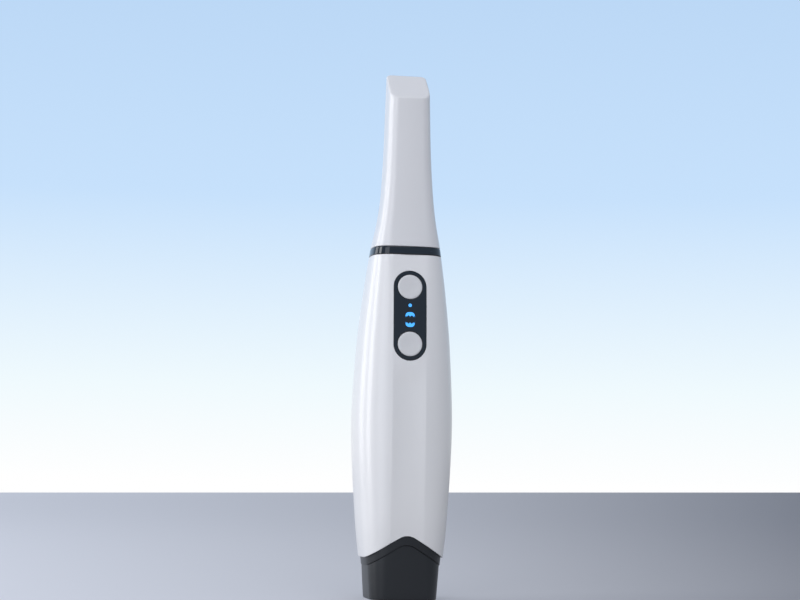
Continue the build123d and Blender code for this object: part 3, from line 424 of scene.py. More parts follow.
@dataclass(frozen=True)
class Section:
    """Rounded-square cross section made of eight tangent arcs, in millimetres."""

    half_width: float
    half_depth: float
    middle: float
    squareness: float
    back_squareness: float = 0.0

    FLAT_STEPS = 9
    BOW_STEPS = 13
    CORNER_STEPS = 12
    SIDE_STEPS = 6
    SOLVE_STEPS = 30
    LEAST_SINK = 0.004
    CREASE_SOFTNESS = 0.14

    def inset(self, amount: float) -> "Section":
        """Return the section moved inwards by an amount.

        Args:
            amount: Distance inwards.

        Returns:
            The smaller section.
        """
        return replace(
            self, half_width=self.half_width - amount, half_depth=self.half_depth - amount
        )

    @staticmethod
    def bow(reach: float, other: float, squareness: float) -> float:
        """Return the radius of the arc across a side that lies at a reach."""
        sag = reach * (1 - (1 - 0.5**squareness) ** (1 / squareness))
        return ((other / 2) ** 2 + sag**2) / (2 * sag)

    def corner(self) -> tuple[float, float, float]:
        """Return the centre and radius of the corner arc in the first quadrant.

        Returns:
            X and Y of its centre, and its radius.
        """
        side = self.bow(self.half_width, self.half_depth, self.squareness)
        front = self.bow(self.half_depth, self.half_width, self.squareness)
        side_x, front_y = self.half_width - side, self.half_depth - front
        apart = math.hypot(side_x, front_y)
        diagonal = math.hypot(self.half_width, self.half_depth)
        low, high = 0.0, min(self.half_width, self.half_depth)
        x = y = radius = 0.0
        for _ in range(self.SOLVE_STEPS):
            radius = (low + high) / 2
            along = ((side - radius) ** 2 - (front - radius) ** 2 + apart**2) / (2 * apart)
            across = math.sqrt(max((side - radius) ** 2 - along**2, 0.0))
            x = side_x - (side_x * along + front_y * across) / apart
            y = (front_y * along - side_x * across) / apart
            ahead = (x * self.half_width + y * self.half_depth) / diagonal
            reach = ahead + math.sqrt(max(radius**2 - x**2 - y**2 + ahead**2, 0.0))
            if reach > diagonal * 2 ** (-1 / self.squareness):
                low = radius
            else:
                high = radius
        return x, y, radius

    @staticmethod
    def arc(
        centre: tuple[float, float], radius: float, start: float, stop: float, steps: int
    ) -> list[tuple[float, float]]:
        """Sample an arc.

        Args:
            centre: Centre of the arc.
            radius: Radius of the arc.
            start: Bearing of its first point, in radians.
            stop: Bearing of its end, in radians.
            steps: Number of parts.

        Returns:
            The points, without the one at the end.
        """
        turns = [start + (stop - start) * step / steps for step in range(steps)]
        x, y = centre
        return [(x + radius * math.cos(turn), y + radius * math.sin(turn)) for turn in turns]

    def quarter(
        self, facet_reach: Optional[float] = None, dish: float = 0.0
    ) -> list[tuple[float, float]]:
        """Sample the quarter from the middle of the front or back to the middle of the side.

        Args:
            facet_reach: Distance of a flat front from the section's middle, or None.
            dish: Depth of the hollow across the flat.

        Returns:
            Points with both coordinates positive.
        """
        front = self.bow(self.half_depth, self.half_width, self.squareness)
        side = self.bow(self.half_width, self.half_depth, self.squareness)
        cx, cy, radius = self.corner()
        front_centre = (0.0, self.half_depth - front)
        side_centre = (self.half_width - side, 0.0)
        meet_front = math.atan2(cy - front_centre[1], cx)
        meet_side = math.atan2(cy, cx - side_centre[0])
        if facet_reach is None:
            points = self.arc(front_centre, front, math.pi / 2, meet_front, self.BOW_STEPS)
        else:
            sink = max(self.half_depth - facet_reach, self.LEAST_SINK)
            crease = math.sqrt(front**2 - (front - sink) ** 2)
            soft = min(self.CREASE_SOFTNESS, crease / 3)
            reach = min(facet_reach, self.half_depth)
            shares = [step / self.FLAT_STEPS for step in range(self.FLAT_STEPS + 1)]
            points = [((crease - soft) * s, reach - dish * (1 - s**2)) for s in shares]
            start = math.acos((crease + soft) / front)
            rest = self.BOW_STEPS - self.FLAT_STEPS - 1
            points += self.arc(front_centre, front, start, meet_front, rest)
        points += self.arc((cx, cy), radius, meet_front, meet_side, self.CORNER_STEPS)
        points += self.arc(side_centre, side, meet_side, 0.0, self.SIDE_STEPS)
        return points + [(side_centre[0] + side, 0.0)]

    def ring(
        self, facet_y: Optional[float] = None, dish: float = 0.0
    ) -> list[tuple[float, float]]:
        """Sample the whole section, from the middle of the front round by +X.

        Args:
            facet_y: Y of a flat front, or None for a plain section.
            dish: Depth of the hollow across the flat.

        Returns:
            Points of the closed outline, without the first one again.
        """
        reach = None if facet_y is None else self.middle - facet_y
        rear = self
        if self.back_squareness > 0:
            rear = replace(self, squareness=self.back_squareness)
        front = [(x, self.middle - y) for x, y in self.quarter(reach, dish)]
        back = [(x, self.middle + y) for x, y in reversed(rear.quarter())]
        right = front + back[1:]
        left = [(-x, y) for x, y in reversed(right[1:-1])]
        return right + left


COLUMNS = 4 * (Section.BOW_STEPS + Section.CORNER_STEPS + Section.SIDE_STEPS)


@dataclass(frozen=True)
class Station:
    """One measured height of a form, in millimetres."""

    level: float
    half_width: float
    front: float
    back: float
    squareness: float

    def sizes(self) -> tuple[float, float, float, float]:
        """Return the four sizes that change with height."""
        return (self.half_width, self.front, self.back, self.squareness)


@dataclass(frozen=True)
class Form:
    """Smooth form through stations."""

    stations: tuple[Station, ...]
    back_gain: float = 0.0
    gain_from: float = 0.0
    gain_to: float = 1.0

    def slope(self, index: int) -> list[float]:
        """Return the change of each size with height at one station.

        Args:
            index: Which station.

        Returns:
            Change of the four sizes in a millimetre.
        """
        before = self.stations[max(index - 1, 0)]
        after = self.stations[min(index + 1, len(self.stations) - 1)]
        rise = after.level - before.level
        return [(high - low) / rise for low, high in zip(before.sizes(), after.sizes())]

    def sizes_at(self, level: float) -> list[float]:
        """Return half width, front, back and squareness at a height.

        Args:
            level: Height.

        Returns:
            The four sizes, smooth through the stations.
        """
        stations = self.stations
        index = max(sum(station.level <= level for station in stations[:-1]) - 1, 0)
        low, high = stations[index], stations[index + 1]
        span = high.level - low.level
        t = (level - low.level) / span
        if t < 0 or t > 1:
            return [a + (b - a) * t for a, b in zip(low.sizes(), high.sizes())]
        sizes = []
        slopes = zip(low.sizes(), high.sizes(), self.slope(index), self.slope(index + 1))
        for a, b, leaving, arriving in slopes:
            leave = (2 * t**3 - 3 * t**2 + 1) * a + (t**3 - 2 * t**2 + t) * span * leaving
            arrive = (3 * t**2 - 2 * t**3) * b + (t**3 - t**2) * span * arriving
            sizes.append(leave + arrive)
        return sizes

    def section(self, level: float, inset: float = 0.0) -> Section:
        """Return the section at a height, moved inwards by an inset.

        Args:
            level: Height.
            inset: Distance inwards from the form.

        Returns:
            The section.
        """
        half_width, front, back, squareness = self.sizes_at(level)
        share = (level - self.gain_from) / (self.gain_to - self.gain_from)
        gain = self.back_gain * clamp(share)
        rear = squareness + gain if self.back_gain > 0 else 0.0
        plain = Section(half_width, (front + back) / 2, (back - front) / 2, squareness, rear)
        return plain.inset(inset)


@dataclass(frozen=True)
class Heights:
    """Heights of the joints along the wand, in millimetres."""

    sleeve: float = 16.2
    hip: float = 30.2
    belly: float = 66.2
    waist: float = 97.2
    throat: float = 117.2
    ring: float = 134.2
    tip: float = 137.4
    flare: float = 147.9
    neck: float = 158.4
    stem: float = 173.4
    head: float = 190.4
    top: float = 209.85
    panel: float = 110.0


HEIGHTS = Heights()
HANDLE = Form(
    (
        Station(HEIGHTS.sleeve - 12.0, 14.85, 15.1, 14.2, 3.2),
        Station(HEIGHTS.sleeve, 16.05, 15.9, 15.2, 3.2),
        Station(HEIGHTS.hip, 17.65, 16.7, 17.0, 2.9),
        Station(HEIGHTS.belly, 19.74, 16.4, 19.8, 2.6),
        Station(HEIGHTS.waist, 18.4, 15.1, 18.3, 2.75),
        Station(HEIGHTS.throat, 16.37, 13.6, 16.0, 2.95),
        Station(HEIGHTS.ring, 14.0, 11.3, 12.3, 3.4),
    )
)
TIP = Form(
    (
        Station(HEIGHTS.tip, 13.55, 11.0, 11.8, 3.4),
        Station(HEIGHTS.flare, 11.35, 10.2, 8.7, 3.9),
        Station(HEIGHTS.neck, 10.08, 9.6, 7.1, 3.9),
        Station(HEIGHTS.stem, 9.1, 8.8, 6.2, 3.9),
        Station(HEIGHTS.head, 8.55, 8.1, 5.9, 3.9),
        Station(HEIGHTS.top, 8.08, 7.8, 5.8, 3.9),
    ),
    back_gain=5.0,
    gain_from=HEIGHTS.neck,
    gain_to=HEIGHTS.head + 6.0,
)
TAIL = Form(
    (
        Station(0.0, 13.25, 13.1, 13.1, 4.8),
        Station(12.6, 14.25, 14.0, 13.8, 4.1),
        Station(24.6, 14.95, 14.7, 14.4, 3.7),
    )
)


@dataclass(frozen=True)
class Chevron:
    """Pointed edge between the white sleeve and the tail, the same on front and back."""

    corner: float = HEIGHTS.sleeve
    half_width: float = 15.4
    angle: float = 32.2
    round: float = 6.4

    def level(self, x: float, drop: float = 0.0) -> float:
        """Return the height of the edge above a place across the wand.

        Args:
            x: Place across the wand.
            drop: Distance below the sleeve's edge.

        Returns:
            Height of the edge.
        """
        turn = math.radians(self.angle)
        slope = math.tan(turn)
        apex = self.corner + self.half_width * slope
        reach = abs(x)
        if reach >= self.half_width:
            height = self.corner
        elif reach <= self.round * math.sin(turn):
            centre = apex - self.round / math.cos(turn)
            height = centre + math.sqrt(self.round**2 - reach**2)
        else:
            height = apex - reach * slope
        return height - drop


@dataclass(frozen=True)
class FrontFlat:
    """Flat strip down the front of the handle, and the plane of the button panel on it."""

    width: float = 13.2
    panel_length: float = 35.5
    panel_width: float = 13.0
    hollow: float = 0.4
    hollow_gap: float = 0.6
    hollow_fade: float = 9.0
    foot_level: float = 28.0
    foot_fade: float = 36.0
    foot_share: float = 0.3
    run_out: float = 2.0

    def dish(self, level: float) -> float:
        """Return the depth of the slight hollow across the flat at a height.

        Args:
            level: Height.

        Returns:
            Depth in the middle of the flat.
        """
        end = HEIGHTS.panel - self.panel_length / 2 - self.hollow_gap
        upper = clamp((end - level) / self.hollow_fade)
        lower = clamp((level - self.foot_level) / self.foot_fade)
        foot = self.foot_share + (1 - self.foot_share) * lower**2 * (3 - 2 * lower)
        return self.hollow * upper**2 * (3 - 2 * upper) * foot

    def sunk_y(self, level: float) -> float:
        """Return Y of the flat for its width at a height.

        Args:
            level: Height.

        Returns:
            Y of the flat.
        """
        section = HANDLE.section(level)
        bow = Section.bow(section.half_depth, section.half_width, section.squareness)
        sink = bow - math.sqrt(bow**2 - (self.width / 2) ** 2)
        return section.middle - section.half_depth + sink

    def y(self, level: float) -> float:
        """Return Y of the flat at a height, running out straight above the panel.

        Args:
            level: Height.

        Returns:
            Y of the flat.
        """
        top = HEIGHTS.panel + self.panel_length / 2
        if level <= top:
            return self.sunk_y(level)
        slope = (self.sunk_y(top) - self.sunk_y(top - self.run_out)) / self.run_out
        return self.sunk_y(top) + slope * (level - top)

    def panel_plane(self) -> tuple[float, float]:
        """Return Y of the middle of the panel's plane and its lean, in radians.

        Returns:
            Y and lean.
        """
        half = self.panel_length / 2
        upper, lower = (self.sunk_y(HEIGHTS.panel + reach) for reach in (half, -half))
        return (upper + lower) / 2, math.atan2(upper - lower, self.panel_length)

    def plane_matrix(self) -> Matrix:
        """Return the place of the panel's plane: x across, y up along it, z outwards.

        Returns:
            Matrix that takes flat pieces to the panel.
        """
        y, tilt = self.panel_plane()
        outwards = Vector((0.0, -math.cos(tilt), math.sin(tilt)))
        across = Vector((1.0, 0.0, 0.0))
        up = outwards.cross(across)
        turn = Matrix((across, up, outwards)).transposed().to_4x4()
        return Matrix.Translation(Vector((0.0, y, HEIGHTS.panel))) @ turn

    def crown(self, along: float) -> float:
        """Return how far the flat stands in front of the panel's plane at a place along it.

        Args:
            along: Place along the panel from its middle.

        Returns:
            Distance outwards.
        """
        y, tilt = self.panel_plane()
        level = HEIGHTS.panel + along * math.cos(tilt)
        plane_y = y + (level - HEIGHTS.panel) * math.tan(tilt)
        return (plane_y - self.y(level)) * math.cos(tilt)


FLAT = FrontFlat()
CHEVRON = Chevron()


# ---------------------------------------------------------------- bench work


class Bench:
    """Hand operations on meshes. All sizes are millimetres until a piece is finished."""

    @staticmethod
    def clear() -> None:
        """Leave edit mode and deselect everything."""
        if bpy.context.object and bpy.context.object.mode != "OBJECT":
            Bench.leave()
        bpy.ops.object.select_all(action="DESELECT")

    @staticmethod
    def pick(piece: bpy.types.Object) -> None:
        """Make one piece the only selected and active object.

        Args:
            piece: Piece to pick.
        """
        Bench.clear()
        piece.select_set(True)
        bpy.context.view_layer.objects.active = piece

    @staticmethod
    def named(name: str) -> bpy.types.Object:
        """Name the piece that was just added, and its mesh.

        Args:
            name: New name.

        Returns:
            The piece.
        """
        piece = bpy.context.object
        piece.name = piece.data.name = name
        return piece

    @staticmethod
    def edit(piece: bpy.types.Object, mode: str = "VERT") -> None:
        """Enter edit mode on a piece with everything selected.

        Args:
            piece: Piece to work on.
            mode: "VERT", "EDGE" or "FACE".
        """
        Bench.pick(piece)
        Bench.resume(mode)
        bpy.ops.mesh.select_all(action="SELECT")

    @staticmethod
    def resume(mode: str) -> None:
        """Enter edit mode on the active piece and keep its selection."""
        bpy.ops.object.mode_set(mode="EDIT")
        bpy.ops.mesh.select_mode(type=mode)

    @staticmethod
    def leave() -> None:
        """Leave edit mode."""
        bpy.ops.object.mode_set(mode="OBJECT")

    @staticmethod
    def close() -> None:
        """Turn all faces of the edited piece outwards and leave edit mode."""
        bpy.ops.mesh.select_all(action="SELECT")
        bpy.ops.mesh.normals_make_consistent(inside=False)
        Bench.leave()

    @staticmethod
    def draw_out(x: float, y: float, z: float) -> None:
        """Extrude the selected faces."""
        bpy.ops.mesh.extrude_region_move(TRANSFORM_OT_translate={"value": (x, y, z)})

    @staticmethod
    def select(piece: bpy.types.Object, kind: str, test: Callable[[object], bool]) -> None:
        """Select vertices, edges or polygons in object mode by a test.

        Args:
            piece: Object whose mesh is searched.
            kind: "vertices", "edges" or "polygons".
            test: Function that says whether an element is wanted.
        """
        mesh = piece.data
        for group in (mesh.vertices, mesh.edges, mesh.polygons):
            group.foreach_set("select", [False] * len(group))
        for element in getattr(mesh, kind):
            if test(element):
                element.select = True

    @staticmethod
    def shape(piece: bpy.types.Object, points: Sequence[Point]) -> None:
        """Put a piece's vertices in their places.

        Args:
            piece: Piece to work on.
            points: New place of each vertex, in order.
        """
        flat = [value for point in points for value in point]
        piece.data.vertices.foreach_set("co", flat)
        piece.data.update()

    @staticmethod
    def stack(name: str, rings: Sequence[Ring], closed: bool = False) -> bpy.types.Object:
        """Raise a tube ring by ring from a circle, then set every ring to its outline.

        Args:
            name: Name of the piece.
            rings: Outlines with the same number of points each, from one end to the other.
            closed: Whether a face closes each end. If not, the ends are joined to a band.

        Returns:
            The new object, still in millimetres.
        """
        Bench.clear()
        count = len(rings[0])
        bpy.ops.mesh.primitive_circle_add(vertices=count, radius=1.0, fill_type="NOTHING")
        piece = Bench.named(name)
        Bench.resume("EDGE")
        bpy.ops.mesh.select_all(action="SELECT")
        if closed:
            bpy.ops.mesh.edge_face_add()
            Bench.leave()
            Bench.select(piece, "edges", lambda edge: True)
            Bench.resume("EDGE")
        for _ in rings[1:]:
            bpy.ops.mesh.extrude_edges_move(TRANSFORM_OT_translate={"value": (0.0, 0.0, 1.0)})
        if closed:
            bpy.ops.mesh.edge_face_add()
        Bench.leave()
        Bench.shape(piece, [point for ring in rings for point in ring])
        if not closed:
            last = (len(rings) - 1) * count
            Bench.select(
                piece,
                "edges",
                lambda e: max(e.vertices) < count or min(e.vertices) >= last,
            )
            Bench.resume("EDGE")
            bpy.ops.mesh.bridge_edge_loops()
            Bench.leave()
        Bench.edit(piece)
        Bench.close()
        return piece

    @staticmethod
    def turn(name: str, profile: Sequence[tuple[float, float]], steps: int) -> bpy.types.Object:
        """Turn a closed piece on a lathe from a profile of radius and height.

        Args:
            name: Name of the piece.
            profile: Points from the axis at one end to the axis at the other.
            steps: Number of facets round.

        Returns:
            The new object, in millimetres, on the Z axis.
        """
        Bench.clear()
        bpy.ops.mesh.primitive_circle_add(vertices=3, radius=1.0, fill_type="NOTHING")
        piece = Bench.named(name)
        Bench.edit(piece)
        bpy.ops.mesh.merge(type="CENTER")
        bpy.ops.mesh.select_all(action="SELECT")
        for _ in profile[1:]:
            bpy.ops.mesh.extrude_vertices_move(TRANSFORM_OT_translate={"value": (0.0, 0.0, 1.0)})
        Bench.leave()
        Bench.shape(piece, [(radius, 0.0, height) for radius, height in profile])
        Bench.edit(piece)
        bpy.ops.mesh.spin(
            steps=steps,
            angle=2 * math.pi,
            center=ORIGIN,
            axis=(0.0, 0.0, 1.0),
            dupli=False,
        )
        bpy.ops.mesh.select_all(action="SELECT")
        bpy.ops.mesh.remove_doubles(threshold=LATHE_WELD)
        Bench.close()
        return piece

    @staticmethod
    def apply(piece: bpy.types.Object, kind: str, **settings: object) -> None:
        """Add a modifier with its settings and apply it.

        Args:
            piece: Piece to work on.
            kind: Blender's name of the modifier type.
            settings: Attributes to set on the modifier.
        """
        Bench.pick(piece)
        modifier = piece.modifiers.new(kind.title(), kind)
        for name, value in settings.items():
            setattr(modifier, name, value)
        bpy.ops.object.modifier_apply(modifier=modifier.name)

    @staticmethod
    def cut(piece: bpy.types.Object, tool: bpy.types.Object, place: Point = ORIGIN) -> None:
        """Cut a tool out of a piece at a place and throw the tool away.

        Args:
            piece: Piece that is cut.
            tool: Solid that is cut out.
            place: Where the tool goes first.
        """
        Bench.move(tool, Matrix.Translation(place))
        Bench.apply(piece, "BOOLEAN", operation="DIFFERENCE", object=tool, solver="EXACT")
        mesh = tool.data
        bpy.data.objects.remove(tool)
        bpy.data.meshes.remove(mesh)

    @staticmethod
    def move(piece: bpy.types.Object, matrix: Matrix) -> None:
        """Move a piece's mesh."""
        piece.data.transform(matrix)
        piece.data.update()

    @staticmethod
    def bend(piece: bpy.types.Object, shape: Callable[[Vector], Vector]) -> None:
        """Move every vertex of a piece by a rule.

        Args:
            piece: Piece to work on.
            shape: Rule from a vertex's old place to its new one.
        """
        for vertex in piece.data.vertices:
            vertex.co = shape(vertex.co)
        piece.data.update()

    @staticmethod
    def bisect(piece: bpy.types.Object, place: Point, normal: Point) -> None:
        """Cut the faces of a piece along a plane.

        Args:
            piece: Piece to work on.
            place: Point of the plane.
            normal: Direction square to the plane.
        """
        Bench.edit(piece, "FACE")
        bpy.ops.mesh.bisect(plane_co=place, plane_no=normal, use_fill=False)
        Bench.leave()

    @staticmethod
    def finish(
        piece: bpy.types.Object,
        finishes: Finishes,
        slot: str,
        replaced: Sequence[str],
        smooth: float = 32.0,
        body: Body = Body.HANDPIECE,
    ) -> None:
        """Scale a piece to metres, shade it, dress it and tie it to the frame.

        Args:
            piece: Object in millimetres.
            finishes: Built materials.
            slot: Record slot of its finish.
            replaced: CAD nodes that it stands for.
            smooth: Angle below which edges are shaded smooth, in degrees.
            body: Body that carries it.
        """
        Bench.move(piece, Matrix.Scale(MM, 4))
        Bench.pick(piece)
        bpy.ops.object.shade_smooth_by_angle(angle=math.radians(smooth))
        Bench.apply(piece, "WEIGHTED_NORMAL", keep_sharp=True)
        piece.data.materials.clear()
        piece.data.materials.append(finishes.by_slot[slot])
        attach(piece, body.value)
        if replaced:
            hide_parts(*replaced)
        LOG.info("%s: %d faces on %s", piece.name, len(piece.data.polygons), body.value)
        Bench.clear()


def ring_at(
    section: Section, level: float, facet_y: Optional[float] = None, dish: float = 0.0
) -> Ring:
    """Return a level outline of a section."""
    return [(x, y, level) for x, y in section.ring(facet_y, dish)]


def point_at(
    form: Form, column: int, level: float, inset: float = 0.0, flat: Optional[FrontFlat] = None
) -> Point:
    """Return one column's point on a form.

    Args:
        form: Form that carries the point.
        column: Which point of the outline.
        level: Height of the point.
        inset: Distance inwards from the form.
        flat: Flat front that cuts the form, if any.

    Returns:
        The point.
    """
    facet = None if flat is None else flat.y(level)
    dish = 0.0 if flat is None else flat.dish(level)
    return (*form.section(level, inset).ring(facet, dish)[column], level)


def chevron_ring(
    form: Form, inset: float, drop: float = 0.0, flat: Optional[FrontFlat] = None
) -> Ring:
    """Return the outline of a form along the chevron edge.

    Args:
        form: Form that carries the edge.
        inset: Distance inwards from the form.
        drop: Distance below the sleeve's edge.
        flat: Flat front that cuts the form, if any.

    Returns:
        One point for each column.
    """
    ring: Ring = []
    for column in range(COLUMNS):
        point = ORIGIN
        for _ in range(RIM_TRIES):
            point = point_at(form, column, CHEVRON.level(point[0], drop), inset, flat)
        ring.append((point[0], point[1], CHEVRON.level(point[0], drop)))
    return ring


def quarter_round(radius: float, rows: int) -> list[tuple[float, float]]:
    """Return the rise along the wall and the inset of each row that rounds a rim."""
    turns = [math.pi / 2 * step / rows for step in range(rows + 1)]
    return [(radius * (1 - math.cos(turn)), radius * (1 - math.sin(turn))) for turn in turns]


# ---------------------------------------------------------------- sub-assemblies


@dataclass
class BodySleeve:
    """White moulded sleeve of the handle, in millimetres."""

    finishes: Finishes
    wall: float = 1.5
    lip_round: float = 0.35
    blend_level: float = 40.0
    blend_rows: int = 12
    upper_rows: int = 56
    inner_rows: int = 14
    lip_rows: int = 4
    joint_step: float = 0.01
    pocket_depth: float = 3.0
    pocket_reach: float = 4.0
    pocket_gap: float = 0.06

    def outer_rings(self) -> list[Ring]:
        """Return the outer skin's outlines from the foot to the ring.

        Returns:
            The outlines in order.
        """
        lip = quarter_round(self.lip_round, self.lip_rows)
        rings = [chevron_ring(HANDLE, inset, -rise, FLAT) for rise, inset in lip]
        foot = rings[-1]
        for step in range(1, self.blend_rows + 1):
            share = step / self.blend_rows
            levels = [low + (self.blend_level - low) * share for _, _, low in foot]
            rings.append([point_at(HANDLE, i, z, 0.0, FLAT) for i, z in enumerate(levels)])
        span = HEIGHTS.ring - self.lip_round - self.blend_level
        for step in range(1, self.upper_rows + 1):
            level = self.blend_level + span * step / self.upper_rows
            rings.append(ring_at(HANDLE.section(level), level, FLAT.y(level), FLAT.dish(level)))
        for inset, fall in lip[1:]:
            level = HEIGHTS.ring - fall
            rings.append(ring_at(HANDLE.section(level, inset), level, FLAT.y(level) + inset))
        return rings

    def inner_rings(self) -> list[Ring]:
        """Return the inner skin's outlines from the ring down to the foot.

        Returns:
            The outlines in order.
        """
        rings = []
        for step in range(self.inner_rows + 1):
            fall = (HEIGHTS.ring - self.blend_level) * step / self.inner_rows
            level = HEIGHTS.ring - self.joint_step - fall
            rings.append(ring_at(HANDLE.section(level, self.wall), level))
        rings.append(chevron_ring(HANDLE, self.wall))
        return rings

    def build(self) -> None:
        """Build the sleeve with the panel's pocket and well."""
        sleeve = Bench.stack("sleeve_skin", self.outer_rings() + self.inner_rings())
        pocket = Panel.stadium(
            "pocket_tool",
            FLAT.panel_length + 2 * self.pocket_gap,
            FLAT.panel_width + 2 * self.pocket_gap,
            -self.pocket_depth,
            self.pocket_reach,
        )
        Bench.move(pocket, FLAT.plane_matrix())
        Bench.cut(sleeve, pocket)
        Bench.finish(sleeve, self.finishes, "shell_white", ("body_sleeve",), smooth=24.0)


@dataclass
class Panel:
    """Gloss black panel with its keys and lit windows, in millimetres."""

    finishes: Finishes
    thickness: float = 1.0
    rim_round: float = 0.22
    rim_segments: int = 4
    key_diameter: float = 9.6
    key_gap: float = 0.12
    key_flare: float = 0.16
    flare_break: float = 0.3
    flare_spread: float = 3.0
    key_proud: float = 0.62
    key_edge: float = 0.34
    key_rows: int = 6
    key_dish: tuple[tuple[float, float], ...] = (
        (0.0, 0.1),
        (1.2, 0.09),
        (2.4, 0.06),
        (3.4, 0.02),
        (4.0, 0.0),
    )
    key_shoulder: float = -1.1
    key_flange: float = 0.45
    key_base: float = -1.7
    stem_radius: float = 1.5
    stem_end: float = -2.55
    dot_along: float = 3.97
    dot_diameter: float = 1.5
    dot_shoulder: float = -0.06
    dot_chamfer: float = 0.08
    dot_crown: float = 0.03
    arch_half_width: float = 1.82
    arch_height: float = 2.0
    arch_band: float = 1.78
    arch_steps: int = 80
    arch_side_power: float = 0.75
    arch_dome_power: float = 0.7
    arch_inner_share: float = 0.97
    tooth_power: float = 0.3
    tooth_depth: float = 0.6
    teeth: int = 4
    upper_arch: float = -0.75
    lower_arch: float = -2.55
    window_gap: float = 0.05
    window_back: float = -1.02
    tool_low: float = -3.0
    tool_high: float = 2.0
    round_steps: int = 96
    dot_steps: int = 40
    guide_width: float = 9.4
    guide_length: float = 9.8
    guide_depth: float = 1.6
    leg_inside: float = 3.5
    leg_depth: float = 1.98

    def key_place(self, side: float) -> Point:
        """Return the place of a key on the panel's plane, 1 for the upper, -1 for the lower."""
        return (0.0, side * (FLAT.panel_length - FLAT.panel_width) / 2, 0.0)

    @staticmethod
    def stadium(
        name: str, length: float, width: float, low: float, high: float
    ) -> bpy.types.Object:
        """Make a stadium block from a circle drawn out at both ends.

        Args:
            name: Name of the piece.
            length: Whole length.
            width: Width.
            low: Lower face.
            high: Upper face.

        Returns:
            The new block on the XY plane, long side along Y.
        """
        Bench.clear()
        bpy.ops.mesh.primitive_circle_add(
            vertices=Panel.round_steps, radius=width / 2, fill_type="NGON"
        )
        piece = Bench.named(name)
        for side in (1.0, -1.0):
            Bench.clear()
            Bench.select(piece, "vertices", lambda v, s=side: v.co.y * s > SAME_PLACE)
            Bench.pick(piece)
            bpy.ops.object.mode_set(mode="EDIT")
            bpy.ops.transform.translate(value=(0.0, side * (length - width) / 2, 0.0))
            Bench.leave()
        Bench.edit(piece, "FACE")
        bpy.ops.transform.translate(value=(0.0, 0.0, low))
        Bench.draw_out(0.0, 0.0, high - low)
        Bench.close()
        return piece

    def arch(
        self, name: str, upward: bool, grow: float, low: float, high: float
    ) -> bpy.types.Object:
        """Make a jaw-shaped bar with tooth notches on its inner side.

        Args:
            name: Name of the piece.
            upward: Whether the dome points up.
            grow: Outward growth of the outline.
            low: Lower face.
            high: Upper face.

        Returns:
            The new bar on the XY plane.
        """
        Bench.clear()
        bpy.ops.mesh.primitive_grid_add(
            x_subdivisions=self.arch_steps, y_subdivisions=1, size=1.0
        )
        piece = Bench.named(name)
        side = 1.0 if upward else -1.0
        base = self.upper_arch if upward else self.lower_arch
        half = self.arch_half_width + grow

        def place(corner: Vector) -> Vector:
            """Wrap the strip round the jaw: a domed outer side and a toothed inner one.

            Args:
                corner: Corner of the flat strip.

            Returns:
                Its place in the bar.
            """
            turn = math.pi * (corner.x + 0.5)
            across, along = -math.cos(turn), math.sin(turn)
            if corner.y > 0:
                x = half * math.copysign(abs(across) ** self.arch_side_power, across)
                y = -grow + (self.arch_height + 2 * grow) * along**self.arch_dome_power
            else:
                notch = abs(math.sin(self.teeth * turn)) * along**self.tooth_power
                x = half * self.arch_inner_share * across
                y = -grow + (self.arch_height - self.arch_band) * along + self.tooth_depth * notch
            return Vector((x, base + side * y, low))

        Bench.bend(piece, place)
        Bench.edit(piece, "FACE")
        Bench.draw_out(0.0, 0.0, high - low)
        bpy.ops.mesh.select_all(action="SELECT")
        bpy.ops.mesh.remove_doubles(threshold=SAME_PLACE)
        Bench.close()
        return piece

    def follow_flat(self, piece: bpy.types.Object) -> None:
        """Crown a flat piece's upper side as the front of the handle is, and put it in place.

        Args:
            piece: Flat piece on the XY plane.
        """

        def lift(corner: Vector) -> Vector:
            """Raise a corner by the flat's crown, fading out at the plate's back."""
            share = clamp((corner.z + self.thickness) / self.thickness)
            return corner + Vector((0.0, 0.0, FLAT.crown(corner.y) * share))

        Bench.bend(piece, lift)
        Bench.move(piece, FLAT.plane_matrix())

    def build_plate(self) -> None:
        """Build the gloss black plate with its openings."""
        length, width = FLAT.panel_length, FLAT.panel_width
        plate = self.stadium("panel_plate", length, width, -self.thickness, 0.0)
        Bench.select(plate, "polygons", lambda face: face.normal.z > OUTWARDS)
        Bench.pick(plate)
        Bench.resume("FACE")
        bpy.ops.mesh.bevel(offset=self.rim_round, segments=self.rim_segments, affect="EDGES")
        Bench.leave()
        radius, flare = self.key_diameter / 2 + self.key_gap, self.key_flare
        profile = [
            (0.0, self.tool_low),
            (radius, self.tool_low),
            (radius, -flare),
            (radius + flare * self.flare_break, -flare * self.flare_break),
            (radius + flare, 0.0),
            (radius + self.flare_spread * flare, self.tool_high),
            (0.0, self.tool_high),
        ]
        for side in (1.0, -1.0):
            hole = Bench.turn("key_hole_tool", profile, self.round_steps)
            Bench.cut(plate, hole, self.key_place(side))
        radius = self.dot_diameter / 2 + self.window_gap
        profile = [
            (0.0, self.tool_low),
            (radius, self.tool_low),
            (radius, self.tool_high),
            (0.0, self.tool_high),
        ]
        hole = Bench.turn("dot_hole_tool", profile, self.dot_steps)
        Bench.cut(plate, hole, (0.0, self.dot_along, 0.0))
        for name, upward in (("upper_arch_tool", True), ("lower_arch_tool", False)):
            gap, low, high = self.window_gap, self.tool_low, self.tool_high
            Bench.cut(plate, self.arch(name, upward, gap, low, high))
        # A slice for every millimetre lets the plate follow the handle's crown
        for step in range(1, int(length)):
            Bench.bisect(plate, (0.0, step - length / 2, 0.0), (0.0, 1.0, 0.0))
        self.follow_flat(plate)
        Bench.finish(plate, self.finishes, "gloss_black", ("button_panel",), smooth=35.0)

